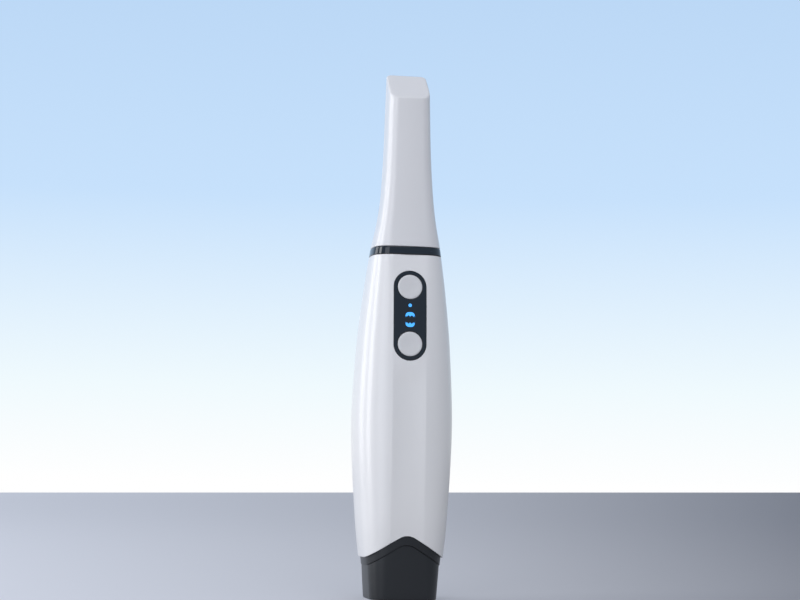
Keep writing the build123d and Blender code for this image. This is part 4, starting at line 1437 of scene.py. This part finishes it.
    def build_windows(self) -> None:
        """Build the lit dot and the two jaw-shaped windows on their clear guide."""
        radius, back = self.dot_diameter / 2, self.window_back
        profile = [
            (0.0, back),
            (radius, back),
            (radius, self.dot_shoulder),
            (radius - self.dot_chamfer, 0.0),
            (0.0, self.dot_crown),
        ]
        dot = Bench.turn("light_windows", profile, self.dot_steps)
        Bench.move(dot, Matrix.Translation((0.0, self.dot_along, 0.0)))
        upper = self.arch("upper_arch", True, 0.0, back, 0.0)
        lower = self.arch("lower_arch", False, 0.0, back, 0.0)
        guide = self.guide_block()
        Bench.clear()
        for part in (dot, upper, lower, guide):
            part.select_set(True)
        bpy.context.view_layer.objects.active = dot
        bpy.ops.object.join()
        self.follow_flat(dot)
        Bench.finish(dot, self.finishes, "guide_blue", ("light_guide",), smooth=30.0)

    def guide_block(self) -> bpy.types.Object:
        """Build the clear block behind the windows, with a leg down each side.

        Returns:
            The new block on the XY plane.
        """
        Bench.clear()
        bpy.ops.mesh.primitive_plane_add(size=1.0)
        block = Bench.named("guide_block")
        width, length, back = self.guide_width, self.guide_length, self.window_back
        Bench.bend(block, lambda corner: Vector((corner.x * width, corner.y * length, back)))
        Bench.edit(block, "FACE")
        Bench.draw_out(0.0, 0.0, -self.guide_depth)
        Bench.leave()
        for side in (1.0, -1.0):
            Bench.bisect(block, (side * self.leg_inside, 0.0, 0.0), (1.0, 0.0, 0.0))
        foot = back - self.guide_depth / 2
        Bench.select(
            block,
            "polygons",
            lambda f: f.normal.z < -OUTWARDS
            and abs(f.center.x) > self.leg_inside
            and f.center.z < foot,
        )
        Bench.pick(block)
        Bench.resume("FACE")
        Bench.draw_out(0.0, 0.0, -self.leg_depth)
        Bench.close()
        return block

    def build_key(self, name: str, side: float, body: Body, node: str) -> None:
        """Build one round key with a softly dished face.

        Args:
            name: Name of the piece.
            side: 1 for the upper key, -1 for the lower.
            body: Body that the key is.
            node: CAD node that it replaces.
        """
        radius, top, edge = self.key_diameter / 2, self.key_proud, self.key_edge
        brim = radius + self.key_flange
        profile = [(reach, top - depth) for reach, depth in self.key_dish]
        for fall, inset in quarter_round(edge, self.key_rows)[1:]:
            profile.append((radius - inset, top - fall))
        profile += [
            (radius, self.key_shoulder),
            (brim, self.key_shoulder),
            (brim, self.key_base),
            (self.stem_radius, self.key_base),
            (self.stem_radius, self.stem_end),
            (0.0, self.stem_end),
        ]
        key = Bench.turn(name, profile, self.round_steps)
        Bench.move(key, FLAT.plane_matrix() @ Matrix.Translation(self.key_place(side)))
        Bench.finish(key, self.finishes, "button_white", (node,), smooth=35.0, body=body)

    def build(self) -> None:
        """Build the plate, the windows and both keys."""
        self.build_plate()
        self.build_windows()
        self.build_key("upper_key_cap", 1.0, Body.UPPER_KEY, "upper_button")
        self.build_key("lower_key_cap", -1.0, Body.LOWER_KEY, "lower_button")


@dataclass
class CollarRing:
    """Gloss black ring between the handle and the tip, in millimetres."""

    finishes: Finishes
    rim_round: float = 0.3
    rim_rows: int = 4
    bore_inset: float = 1.4
    rows: int = 5
    joint_gap: float = 0.02

    def ring(self, level: float, inset: float) -> Ring:
        """Return the ring's outline between its two joints.

        Args:
            level: Height.
            inset: Distance inwards from the form.

        Returns:
            One point for each column.
        """
        share = (level - HEIGHTS.ring) / (HEIGHTS.tip - HEIGHTS.ring)
        low, high = HANDLE.section(HEIGHTS.ring), TIP.section(HEIGHTS.tip)
        section = Section(
            low.half_width + (high.half_width - low.half_width) * share,
            low.half_depth + (high.half_depth - low.half_depth) * share,
            low.middle + (high.middle - low.middle) * share,
            low.squareness,
        )
        return ring_at(section.inset(inset), level)

    def build(self) -> None:
        """Build the ring as a closed band with rounded rims."""
        low, high = HEIGHTS.ring + self.joint_gap, HEIGHTS.tip
        rim = quarter_round(self.rim_round, self.rim_rows)
        rings = [self.ring(low + rise, inset) for rise, inset in rim]
        for step in range(1, self.rows):
            level = low + self.rim_round + (high - low - 2 * self.rim_round) * step / self.rows
            rings.append(self.ring(level, 0.0))
        rings += [self.ring(high - fall, inset) for inset, fall in rim]
        bore = TIP.section(HEIGHTS.tip, self.bore_inset)
        rings += [ring_at(bore, high), ring_at(bore, low)]
        band = Bench.stack("collar_band", rings)
        Bench.finish(band, self.finishes, "gloss_black", ("collar_ring",), smooth=40.0)


@dataclass
class ScanningTip:
    """Removable white tip with a slanted end and a window in its back, in millimetres."""

    finishes: Finishes
    joint_gap: float = 0.08
    wall: float = 1.3
    foot_round: float = 0.3
    foot_rows: int = 4
    slant_depth: float = 13.6
    slant_fall: float = 12.2
    slant_round: float = 1.0
    slant_scales: tuple[float, ...] = (0.8, 0.55, 0.3, 0.08)
    ridge_drop: float = 0.28
    slant_wall: float = 1.4
    blend_level: float = 184.0
    rows: int = 40
    inner_rows: int = 10
    blend_rows: int = 12
    round_rows: int = 6
    wall_sample: float = 2.0
    window_width: float = 12.4
    window_length: float = 14.6
    window_depth: float = 2.2
    window_reach: float = 4.0
    window_drop: float = 4.8
    window_corner: float = 2.0
    window_segments: int = 8
    window_chamfer: float = 0.35

    def slant(self) -> float:
        """Return the fall of the slanted end, in radians."""
        return math.atan2(self.slant_fall, self.slant_depth)

    @staticmethod
    def ridge_y() -> float:
        """Return Y of the tip's back at its end."""
        ridge = TIP.section(HEIGHTS.top)
        return ridge.middle + ridge.half_depth

    def slant_z(self, y: float, drop: float = 0.0) -> float:
        """Return the height of the slanted end above a place from front to back."""
        fall = (self.ridge_y() - y) * self.slant_fall / self.slant_depth
        return HEIGHTS.top - self.ridge_drop - drop - fall

    def rim(self, inset: float, drop: float) -> Ring:
        """Return where the wall at an inset meets the slanted plane.

        Args:
            inset: Distance inwards from the form.
            drop: Distance of the plane below the slanted face.

        Returns:
            One point for each column.
        """
        ring: Ring = []
        for column in range(COLUMNS):
            x, y, _ = point_at(TIP, column, HEIGHTS.head, inset)
            for _ in range(RIM_TRIES):
                level = min(self.slant_z(y, drop), HEIGHTS.top)
                x, y, _ = point_at(TIP, column, level, inset)
            ring.append((x, y, self.slant_z(y, drop)))
        return ring

    @staticmethod
    def face_centre(ring: Ring) -> Vector:
        """Return the middle of a rim."""
        spans = [[point[axis] for point in ring] for axis in (0, 1)]
        return Vector((*((min(span) + max(span)) / 2 for span in spans), 0.0))

    def rounded_end(self, rim: Ring) -> list[Ring]:
        """Return the rows that round the rim over into the slanted face.

        Args:
            rim: Sharp edge between the wall and the slanted face.

        Returns:
            Rows from the wall to the face.
        """
        centre = self.face_centre(rim)
        centre.z = self.slant_z(centre.y)
        normal = Vector((0.0, -math.sin(self.slant()), math.cos(self.slant())))
        starts: list[Vector] = []
        reaches: list[float] = []
        for column, corner in enumerate(rim):
            edge = Vector(corner)
            below = Vector(point_at(TIP, column, edge.z - self.wall_sample))
            down = (below - edge).normalized()
            before, after = Vector(rim[column - 1]), Vector(rim[(column + 1) % len(rim)])
            inwards = normal.cross((after - before).normalized())
            if inwards.dot(centre - edge) < 0:
                inwards.negate()
            inwards.normalize()
            reaches.append(self.slant_round / math.tan(down.angle(inwards) / 2))
            starts.append(edge + down * reaches[-1])
        ys = [point[1] for point in rim]
        front, back = min(ys), max(ys)
        near = front + reaches[ys.index(front)] * math.cos(self.slant())
        far = back - reaches[ys.index(back)] * math.cos(self.slant())
        narrow = 1 - self.slant_round / max(point[0] for point in rim)
        rows: list[Ring] = [[] for _ in range(self.round_rows + 1)]
        for start, corner in zip(starts, rim):
            edge = Vector(corner)
            y = near + (edge.y - front) / (back - front) * (far - near)
            stop = Vector((edge.x * narrow, y, self.slant_z(y)))
            for row, points in enumerate(rows):
                t = row / self.round_rows
                points.append(tuple(start * (1 - t) ** 2 + edge * 2 * t * (1 - t) + stop * t**2))
        return rows

    def slant_rows(self, last: Ring, drop: float) -> list[Ring]:
        """Return rows that close the slanted face towards its middle.

        Args:
            last: Outermost row of the face.
            drop: Distance of the plane below the slanted face.

        Returns:
            The rows from the outside inwards.
        """
        centre = self.face_centre(last)
        rows = []
        for scale in self.slant_scales:
            ring: Ring = []
            for x, y, _ in last:
                near_y = centre.y + (y - centre.y) * scale
                near_x = centre.x + (x - centre.x) * scale
                ring.append((near_x, near_y, self.slant_z(near_y, drop)))
            rows.append(ring)
        return rows

    def wall_rings(self, inset: float, low: float, top_ring: Ring, rows: int) -> list[Ring]:
        """Return level rings of a wall that blend into a slanted top ring.

        Args:
            inset: Distance inwards from the form.
            low: Height of the first ring.
            top_ring: Slanted ring that they lead to.
            rows: Number of level rings above the first.

        Returns:
            The rings, without the slanted one.
        """
        rings = []
        for step in range(rows + 1):
            level = low + (self.blend_level - low) * step / rows
            rings.append(ring_at(TIP.section(level, inset), level))
        for step in range(1, self.blend_rows):
            share = step / self.blend_rows
            levels = [self.blend_level + (z - self.blend_level) * share for _, _, z in top_ring]
            rings.append([point_at(TIP, i, z, inset) for i, z in enumerate(levels)])
        return rings

    def build(self) -> None:
        """Build the tip's shell and cut the scanning window."""
        foot = HEIGHTS.tip + self.joint_gap
        rounded = self.rounded_end(self.rim(0.0, 0.0))
        outer = []
        for rise, inset in quarter_round(self.foot_round, self.foot_rows):
            level = foot + rise
            outer.append(ring_at(TIP.section(max(level, HEIGHTS.tip), inset), level))
        outer += self.wall_rings(0.0, foot + self.foot_round, rounded[0], self.rows)[1:]
        outer += rounded + self.slant_rows(rounded[-1], 0.0)
        drop = self.slant_wall / math.cos(self.slant())
        rim = self.rim(self.wall, drop)
        inner = self.wall_rings(self.wall, foot, rim, self.inner_rows) + [rim]
        inner += self.slant_rows(rim, drop)
        shell = Bench.stack("tip_skin", list(reversed(outer)) + inner, True)
        Bench.cut(shell, self.window_tool())
        Bench.finish(shell, self.finishes, "tip_white", ("tip_shell",), body=Body.TIP)

    def window_tool(self) -> bpy.types.Object:
        """Make the block that cuts the window, a plane drawn out with rounded corners.

        Returns:
            The new block in its place, in millimetres.
        """
        Bench.clear()
        bpy.ops.mesh.primitive_plane_add(size=1.0)
        tool = Bench.named("window_tool")
        width, length, chamfer = self.window_width, self.window_length, self.window_chamfer
        middle = HEIGHTS.top - self.window_drop - length / 2
        low_y, brim_y = self.ridge_y() - self.window_depth, self.ridge_y() - chamfer
        Bench.bend(tool, lambda c: Vector((c.x * width, low_y, middle + c.y * length)))
        Bench.edit(tool, "FACE")
        bpy.ops.mesh.bevel(
            offset=self.window_corner, segments=self.window_segments, affect="VERTICES"
        )
        bpy.ops.mesh.select_all(action="SELECT")
        Bench.draw_out(0.0, brim_y - low_y, 0.0)
        Bench.draw_out(0.0, chamfer, 0.0)
        grown = (1 + 2 * chamfer / width, 1.0, 1 + 2 * chamfer / length)
        bpy.ops.transform.resize(value=grown, center_override=(0.0, brim_y, middle))
        Bench.draw_out(0.0, self.window_reach, 0.0)
        Bench.close()
        return tool


@dataclass
class TailEnd:
    """Black cuff and tail cap below the white sleeve, in millimetres."""

    finishes: Finishes
    cuff_reveal: float = 3.6
    cuff_inset: float = 0.85
    cuff_wall: float = 2.2
    sleeve_wall: float = 1.5
    fit_gap: float = 0.1
    edge_gap: float = 0.04
    cuff_shares: tuple[float, ...] = (0.25, 0.5, 0.75, 0.98)
    lip_round: float = 0.25
    lip_rows: int = 4
    spigot_rise: float = 4.0
    spigot_top: float = 35.0
    base_round: float = 0.6
    base_rows: int = 5
    cap_wall: float = 2.0
    cap_top: float = 25.0
    cap_gap: float = 0.02
    cap_chamfer: float = 0.15
    cap_rows: int = 10
    floor: float = 3.0
    inlet_radius: float = 5.0
    inlet_depth: float = 7.0
    inlet_chamfer: float = 0.4
    socket_radius: float = 4.0
    socket_top: float = 9.6
    boss_radius: float = 6.4
    screw_x: float = 6.3
    screw_y: float = 5.6
    screw_seat: float = 1.2
    screw_radius: float = 1.5
    screw_head: float = 1.4
    thread_bore: float = 0.82
    hole_flare: float = 0.2
    hole_chamfer: float = 0.15
    hole_reach: float = 1.0
    hole_steps: int = 48
    head_level: float = 0.3
    head_chamfer: float = 0.15
    head_shoulder: float = 0.42
    shank_radius: float = 0.8
    shank_end: float = 8.6
    point_radius: float = 0.5
    point_end: float = 9.0
    screw_steps: int = 40
    socket_sides: int = 6
    socket_reach: float = 0.72
    socket_depth: float = 0.85

    @staticmethod
    def round_ring(radius: float, level: float) -> Ring:
        """Return a circle with one point for each column, at the columns' bearings.

        Args:
            radius: Radius of the circle.
            level: Height.

        Returns:
            One point for each column.
        """
        ring: Ring = []
        for x, y in TAIL.section(0.0).ring():
            bearing = math.atan2(y, x)
            ring.append((radius * math.cos(bearing), radius * math.sin(bearing), level))
        return ring

    def build_cuff(self) -> None:
        """Build the cuff: chevron band below the sleeve and the spigot inside it."""
        drop, inset, lip = self.cuff_reveal, self.cuff_inset, self.lip_round
        spigot, bore = self.sleeve_wall + self.fit_gap, self.cuff_inset + self.cuff_wall
        rows = [(inset + cut, drop - rise) for rise, cut in quarter_round(lip, self.lip_rows)]
        for share in self.cuff_shares:
            rows.append((inset, drop - lip - (drop - self.edge_gap - lip) * share))
        rows += [(spigot, self.edge_gap), (spigot, -self.spigot_rise)]
        rings = [chevron_ring(HANDLE, inset, drop) for inset, drop in rows]
        for inset in (spigot, bore):
            rings.append(ring_at(HANDLE.section(self.spigot_top, inset), self.spigot_top))
        for fall in (-self.spigot_rise, self.cuff_reveal):
            rings.append(chevron_ring(HANDLE, bore, fall))
        cuff = Bench.stack("cuff_skin", rings)
        Bench.finish(cuff, self.finishes, "satin_black", ("tail_cuff",))

    def build_cap(self) -> None:
        """Build the tail cap with its flat end, cable inlet and screw recesses."""
        spigot = self.cuff_inset + self.cuff_wall + self.fit_gap
        inside = spigot + self.cap_wall
        drop = self.cuff_reveal + self.cap_gap
        rings = [
            ring_at(HANDLE.section(self.cap_top, inside), self.cap_top),
            ring_at(HANDLE.section(self.cap_top, spigot), self.cap_top),
            chevron_ring(HANDLE, spigot, drop),
            chevron_ring(TAIL, self.cap_chamfer, drop),
            chevron_ring(TAIL, 0.0, drop + self.cap_chamfer),
        ]
        top = rings[-1]
        for step in range(1, self.cap_rows + 1):
            share = step / self.cap_rows
            levels = [z + (self.base_round - z) * share for _, _, z in top]
            rings.append([point_at(TAIL, i, z) for i, z in enumerate(levels)])
        for inset, level in quarter_round(self.base_round, self.base_rows)[1:]:
            rings.append(ring_at(TAIL.section(level, inset), level))
        rings += [
            self.round_ring(radius, level)
            for radius, level in (
                (self.inlet_radius + self.inlet_chamfer, 0.0),
                (self.inlet_radius, self.inlet_chamfer),
                (self.inlet_radius, self.inlet_depth),
                (self.socket_radius, self.inlet_depth),
                (self.socket_radius, self.socket_top),
                (self.boss_radius, self.socket_top),
                (self.boss_radius, self.floor),
            )
        ]
        rings.append(ring_at(HANDLE.section(self.floor, inside), self.floor))
        cap = Bench.stack("cap_skin", rings)
        reach = self.hole_reach
        profile = [
            (0.0, -reach),
            (self.screw_radius + self.hole_flare, -reach),
            (self.screw_radius, self.hole_chamfer),
            (self.screw_radius, self.screw_seat),
            (self.thread_bore, self.screw_seat),
            (self.thread_bore, self.floor + reach),
            (0.0, self.floor + reach),
        ]
        for place in self.screw_places():
            Bench.cut(cap, Bench.turn("screw_hole_tool", profile, self.hole_steps), place)
        Bench.finish(cap, self.finishes, "satin_black", ("tail_cap",))

    def screw_places(self) -> tuple[Point, Point]:
        """Return the places of the two screws."""
        return (self.screw_x, self.screw_y, 0.0), (-self.screw_x, -self.screw_y, 0.0)

    def build_screws(self) -> None:
        """Build one socket-head screw and copy it to both places."""
        head, seat = self.screw_head, self.screw_seat
        profile = [
            (0.0, self.head_level),
            (head - self.head_chamfer, self.head_level),
            (head, self.head_shoulder),
            (head, seat),
            (self.shank_radius, seat),
            (self.shank_radius, self.shank_end),
            (self.point_radius, self.point_end),
            (0.0, self.point_end),
        ]
        first = Bench.turn("tail_screw_upper", profile, self.screw_steps)
        Bench.clear()
        bpy.ops.mesh.primitive_circle_add(
            vertices=self.socket_sides, radius=self.socket_reach, fill_type="NGON"
        )
        socket = Bench.named("socket_tool")
        Bench.edit(socket, "FACE")
        Bench.draw_out(0.0, 0.0, self.socket_depth)
        Bench.close()
        Bench.cut(first, socket)
        second = first.copy()
        second.data = first.data.copy()
        second.name = "tail_screw_lower"
        bpy.context.scene.collection.objects.link(second)
        for screw, place in zip((first, second), self.screw_places()):
            Bench.move(screw, Matrix.Translation(place))
            replaced = ("tail_screws",) if screw is first else ()
            Bench.finish(screw, self.finishes, "screw_steel", replaced, smooth=30.0)

    def build(self) -> None:
        """Build the cuff, the cap and the screws."""
        self.build_cuff()
        self.build_cap()
        self.build_screws()


INNER_FINISHES = {
    "front_mirror": ("tip_mirror",),
    "satin_black": ("nose_tube",),
    "window_glass": ("nose_window",),
    "switch_black": (
        "upper_plunger",
        "lower_plunger",
        "upper_switch",
        "lower_switch",
        "inlet_socket",
    ),
    "led_package": ("indicator_leds",),
    "circuit_board": ("button_board", "camera_board_left", "camera_board_right", "main_board"),
    "screw_steel": ("button_board_screws", "bench_screws", "main_board_screws"),
    "bench_aluminium": ("optical_bench", "heat_sink"),
    "barrel_black": (
        "projector_barrel",
        "light_engine",
        "camera_barrel_left",
        "camera_barrel_right",
    ),
    "lens_glass": ("projector_lens", "camera_lens_left", "camera_lens_right"),
    "shield_steel": ("processor_shield",),
    "connector_white": ("ribbon_connectors",),
    "seal_rubber": ("tail_gasket",),
    "contact_brass": ("inlet_contacts",),
}


@dataclass
class InnerParts:
    """CAD nodes that stay as they are and only get their finish."""

    finishes: Finishes

    def dress(self, nodes: dict[str, bpy.types.Object]) -> None:
        """Give every kept node its material.

        Args:
            nodes: CAD nodes by name.
        """
        for slot, names in INNER_FINISHES.items():
            for name in names:
                materials = nodes[name].data.materials
                materials.clear()
                materials.append(self.finishes.by_slot[slot])
                LOG.info("%s: CAD node in %s", name, slot)


# ---------------------------------------------------------------- studio


# Colours by place on each ramp, the two end stops first
# The floor ramp is painted light: the floor's glow, pale on the left under the lamps and dark on
# the right.
FLOOR_PAINTED_LIGHT = {0.0: "#9FA4B0", 1.0: "#35363F", 0.5: "#83868F"}
SKY_LIGHT = {0.0: "#363B44", 1.0: "#DFDFE2"}
SKY_SEEN = {0.0: "#FFFFFF", 0.25: "#BCD8F6", 0.05: "#F0FAFE", 0.15: "#C7E1FC"}

# Name, place, width and height, watts and colour of each lamp
LAMPS = (
    ("key_lamp", (-1.41, -0.25, 0.46), (0.42, 0.90), 5.9, "#FFFFFF"),
    ("back_lamp", (-1.25, 0.55, 0.46), (0.60, 0.90), 4.6, "#FFFFFF"),
    ("side_lamp", (-0.62, -1.05, 0.33), (0.60, 0.75), 2.3, "#F6F8FF"),
    ("top_lamp", (-0.14, -0.82, 0.92), (0.7, 0.5), 2.8, "#FFFBF6"),
)


@dataclass
class Studio:
    """Floor with painted light, soft lamps, backdrop and camera, in metres and degrees."""

    distance: float = 0.75
    azimuth: float = -10.0
    eye_height: float = 0.0446
    pitch: float = 5.534
    roll: float = 1.0
    yaw: float = 0.13
    focal: float = 1899.0
    frame_width: float = 800.0
    sensor: float = 36.0
    near_clip: float = 0.01
    lamp_aim: Point = (0.0, 0.0, 0.1)
    paper: str = "#C4C7CB"
    paper_seen: str = "#8A8C92"
    floor_corners: tuple[tuple[float, float], ...] = (
        (-80.0, -10.0),
        (60.0, -80.0),
        (-1.2, 2.943),
        (32.6, 78.0),
    )
    fan_x: float = -0.13
    fan_y: float = -0.739
    fan_left: float = -0.035
    fan_right: float = 0.40

    @staticmethod
    def ramp(
        tree: bpy.types.NodeTree, factor: bpy.types.NodeSocket, stops: dict[float, str]
    ) -> bpy.types.NodeSocket:
        """Add a colour ramp.

        Args:
            tree: Node tree that gets the ramp.
            factor: Socket that drives it.
            stops: sRGB hex colours by place, the two end stops first.

        Returns:
            The ramp's colour.
        """
        node = add_node(tree, "ShaderNodeValToRGB", links={"Fac": factor})
        elements = node.color_ramp.elements
        for index, (place, code) in enumerate(stops.items()):
            element = elements[index] if index < 2 else elements.new(place)
            element.position = place
            element.color = srgb(code)
        return node.outputs["Color"]

    def painted_floor_light(self, tree: bpy.types.NodeTree) -> bpy.types.NodeSocket:
        """Return the floor's painted light: a glow graded by the bearing from a point in front of
        the wand, pale on the left where the lamps hang and dark on the right.

        Args:
            tree: Node tree that gets the nodes.

        Returns:
            The painted light's colour socket.
        """
        place = add_node(tree, "ShaderNodeTexCoord")
        split = add_node(tree, "ShaderNodeSeparateXYZ", links={"Vector": place.outputs["Object"]})
        across = math_node(tree, "SUBTRACT", split.outputs["X"], self.fan_x)
        along = math_node(tree, "SUBTRACT", split.outputs["Y"], self.fan_y)
        slope = math_node(tree, "DIVIDE", across, math_node(tree, "ABSOLUTE", along))
        limits = {"From Min": self.fan_left, "From Max": self.fan_right}
        spread = add_node(tree, "ShaderNodeMapRange", inputs=limits, links={"Value": slope})
        return self.ramp(tree, spread.outputs["Result"], FLOOR_PAINTED_LIGHT)

    def build_floor(self) -> None:
        """Lay the floor, with its back edge level in the picture, and paint light on it: camera
        and glossy rays see a darker paper under a glow that is pale on the left and dark on the
        right.
        """
        Bench.clear()
        bpy.ops.mesh.primitive_plane_add()
        floor = Bench.named("studio_floor")
        for corner, spot in zip(floor.data.vertices, self.floor_corners):
            corner.co = (*spot, 0.0)
        material = new_material("floor_paper_with_painted_light", {"Roughness": 0.9})
        tree = material.node_tree
        rays = add_node(tree, "ShaderNodeLightPath").outputs
        seen = math_node(tree, "MAXIMUM", rays["Is Camera Ray"], rays["Is Glossy Ray"])
        paper = add_node(
            tree,
            "ShaderNodeMix",
            settings={"data_type": "RGBA"},
            inputs={6: srgb(self.paper), 7: srgb(self.paper_seen)},
            links={0: seen},
        )
        shader = tree.nodes["Principled BSDF"]
        tree.links.new(paper.outputs[2], shader.inputs["Base Color"])
        # Painted light: a glow seen only by camera and glossy rays, pale on the left and dark on
        # the right.
        tree.links.new(seen, shader.inputs["Emission Strength"])
        tree.links.new(self.painted_floor_light(tree), shader.inputs["Emission Color"])
        floor.data.materials.append(material)

    def build_world(self) -> None:
        """Set the backdrop, pale blue above and white at the horizon, and the ambient light."""
        world = bpy.data.worlds.new("studio_world")
        bpy.context.scene.world = world
        world.use_nodes = True
        tree = world.node_tree
        tree.nodes.clear()
        place = add_node(tree, "ShaderNodeTexCoord").outputs["Generated"]
        height = add_node(tree, "ShaderNodeSeparateXYZ", links={"Vector": place}).outputs["Z"]
        lights = []
        for stops in (SKY_LIGHT, SKY_SEEN):
            links = {"Color": self.ramp(tree, height, stops)}
            light = add_node(tree, "ShaderNodeBackground", links=links)
            lights.append(light.outputs["Background"])
        rays = add_node(tree, "ShaderNodeLightPath").outputs
        seen = math_node(tree, "MAXIMUM", rays["Is Camera Ray"], rays["Is Transmission Ray"])
        shown = math_node(tree, "MAXIMUM", seen, rays["Is Glossy Ray"])
        links = {0: shown, 1: lights[0], 2: lights[1]}
        mix = add_node(tree, "ShaderNodeMixShader", links=links)
        add_node(tree, "ShaderNodeOutputWorld", links={"Surface": mix.outputs["Shader"]})

    def add_lamp(
        self, name: str, place: Point, size: tuple[float, float], power: float, colour: str
    ) -> None:
        """Hang one soft lamp that points at the middle of the wand.

        Args:
            name: Name of the lamp.
            place: Where it hangs.
            size: Width and height.
            power: Watts.
            colour: sRGB hex colour.
        """
        lamp = bpy.data.lights.new(name, "AREA")
        lamp.shape = "RECTANGLE"
        lamp.size, lamp.size_y = size
        lamp.energy = power
        lamp.color = srgb(colour)[:3]
        turn = (Vector(self.lamp_aim) - Vector(place)).to_track_quat("-Z", "Y")
        self.put(name, lamp, Matrix.Translation(place) @ turn.to_matrix().to_4x4())

    @staticmethod
    def put(name: str, data: bpy.types.ID, matrix: Matrix) -> bpy.types.Object:
        """Put a lamp or camera in its place.

        Args:
            name: Name of the object.
            data: Lamp or camera.
            matrix: Its place and turn.

        Returns:
            The new object.
        """
        holder = bpy.data.objects.new(name, data)
        bpy.context.scene.collection.objects.link(holder)
        holder.matrix_world = matrix
        return holder

    @staticmethod
    def heading(turn: float) -> Vector:
        """Return the level direction at a turn from +Y towards +X, in radians."""
        return Vector((math.sin(turn), math.cos(turn), 0.0))

    def build_camera(self) -> None:
        """Set the camera at the photograph's viewing angle."""
        turn, pitch, lean = (math.radians(a) for a in (self.azimuth, self.pitch, self.roll))
        eye = self.heading(math.pi - turn) * self.distance
        eye.z = self.eye_height
        forward = self.heading(-turn - math.radians(self.yaw)) * math.cos(pitch)
        forward.z = math.sin(pitch)
        right = forward.cross(Vector((0.0, 0.0, 1.0))).normalized()
        up = right.cross(forward)
        rolled_up = up * math.cos(lean) - right * math.sin(lean)
        rolled_right = right * math.cos(lean) + up * math.sin(lean)
        axes = Matrix((rolled_right, rolled_up, -forward)).transposed().to_4x4()
        camera = bpy.data.cameras.new("studio_camera")
        camera.sensor_width = self.sensor
        camera.lens = self.focal / self.frame_width * self.sensor
        camera.clip_start = self.near_clip
        holder = self.put("studio_camera", camera, Matrix.Translation(eye) @ axes)
        bpy.context.scene.camera = holder

    def build(self) -> None:
        """Build the whole studio."""
        self.build_floor()
        self.build_world()
        for lamp in LAMPS:
            self.add_lamp(*lamp)
        self.build_camera()
        bpy.context.scene.view_settings.view_transform = "Standard"


def main() -> None:
    """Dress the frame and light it."""
    logging.basicConfig(level=logging.INFO, format="%(name)s: %(message)s")
    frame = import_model()
    finishes = Finishes()
    InnerParts(finishes).dress(frame["nodes"])
    BodySleeve(finishes).build()
    Panel(finishes).build()
    CollarRing(finishes).build()
    ScanningTip(finishes).build()
    TailEnd(finishes).build()
    Studio().build()


if __name__ == "__main__":
    main()
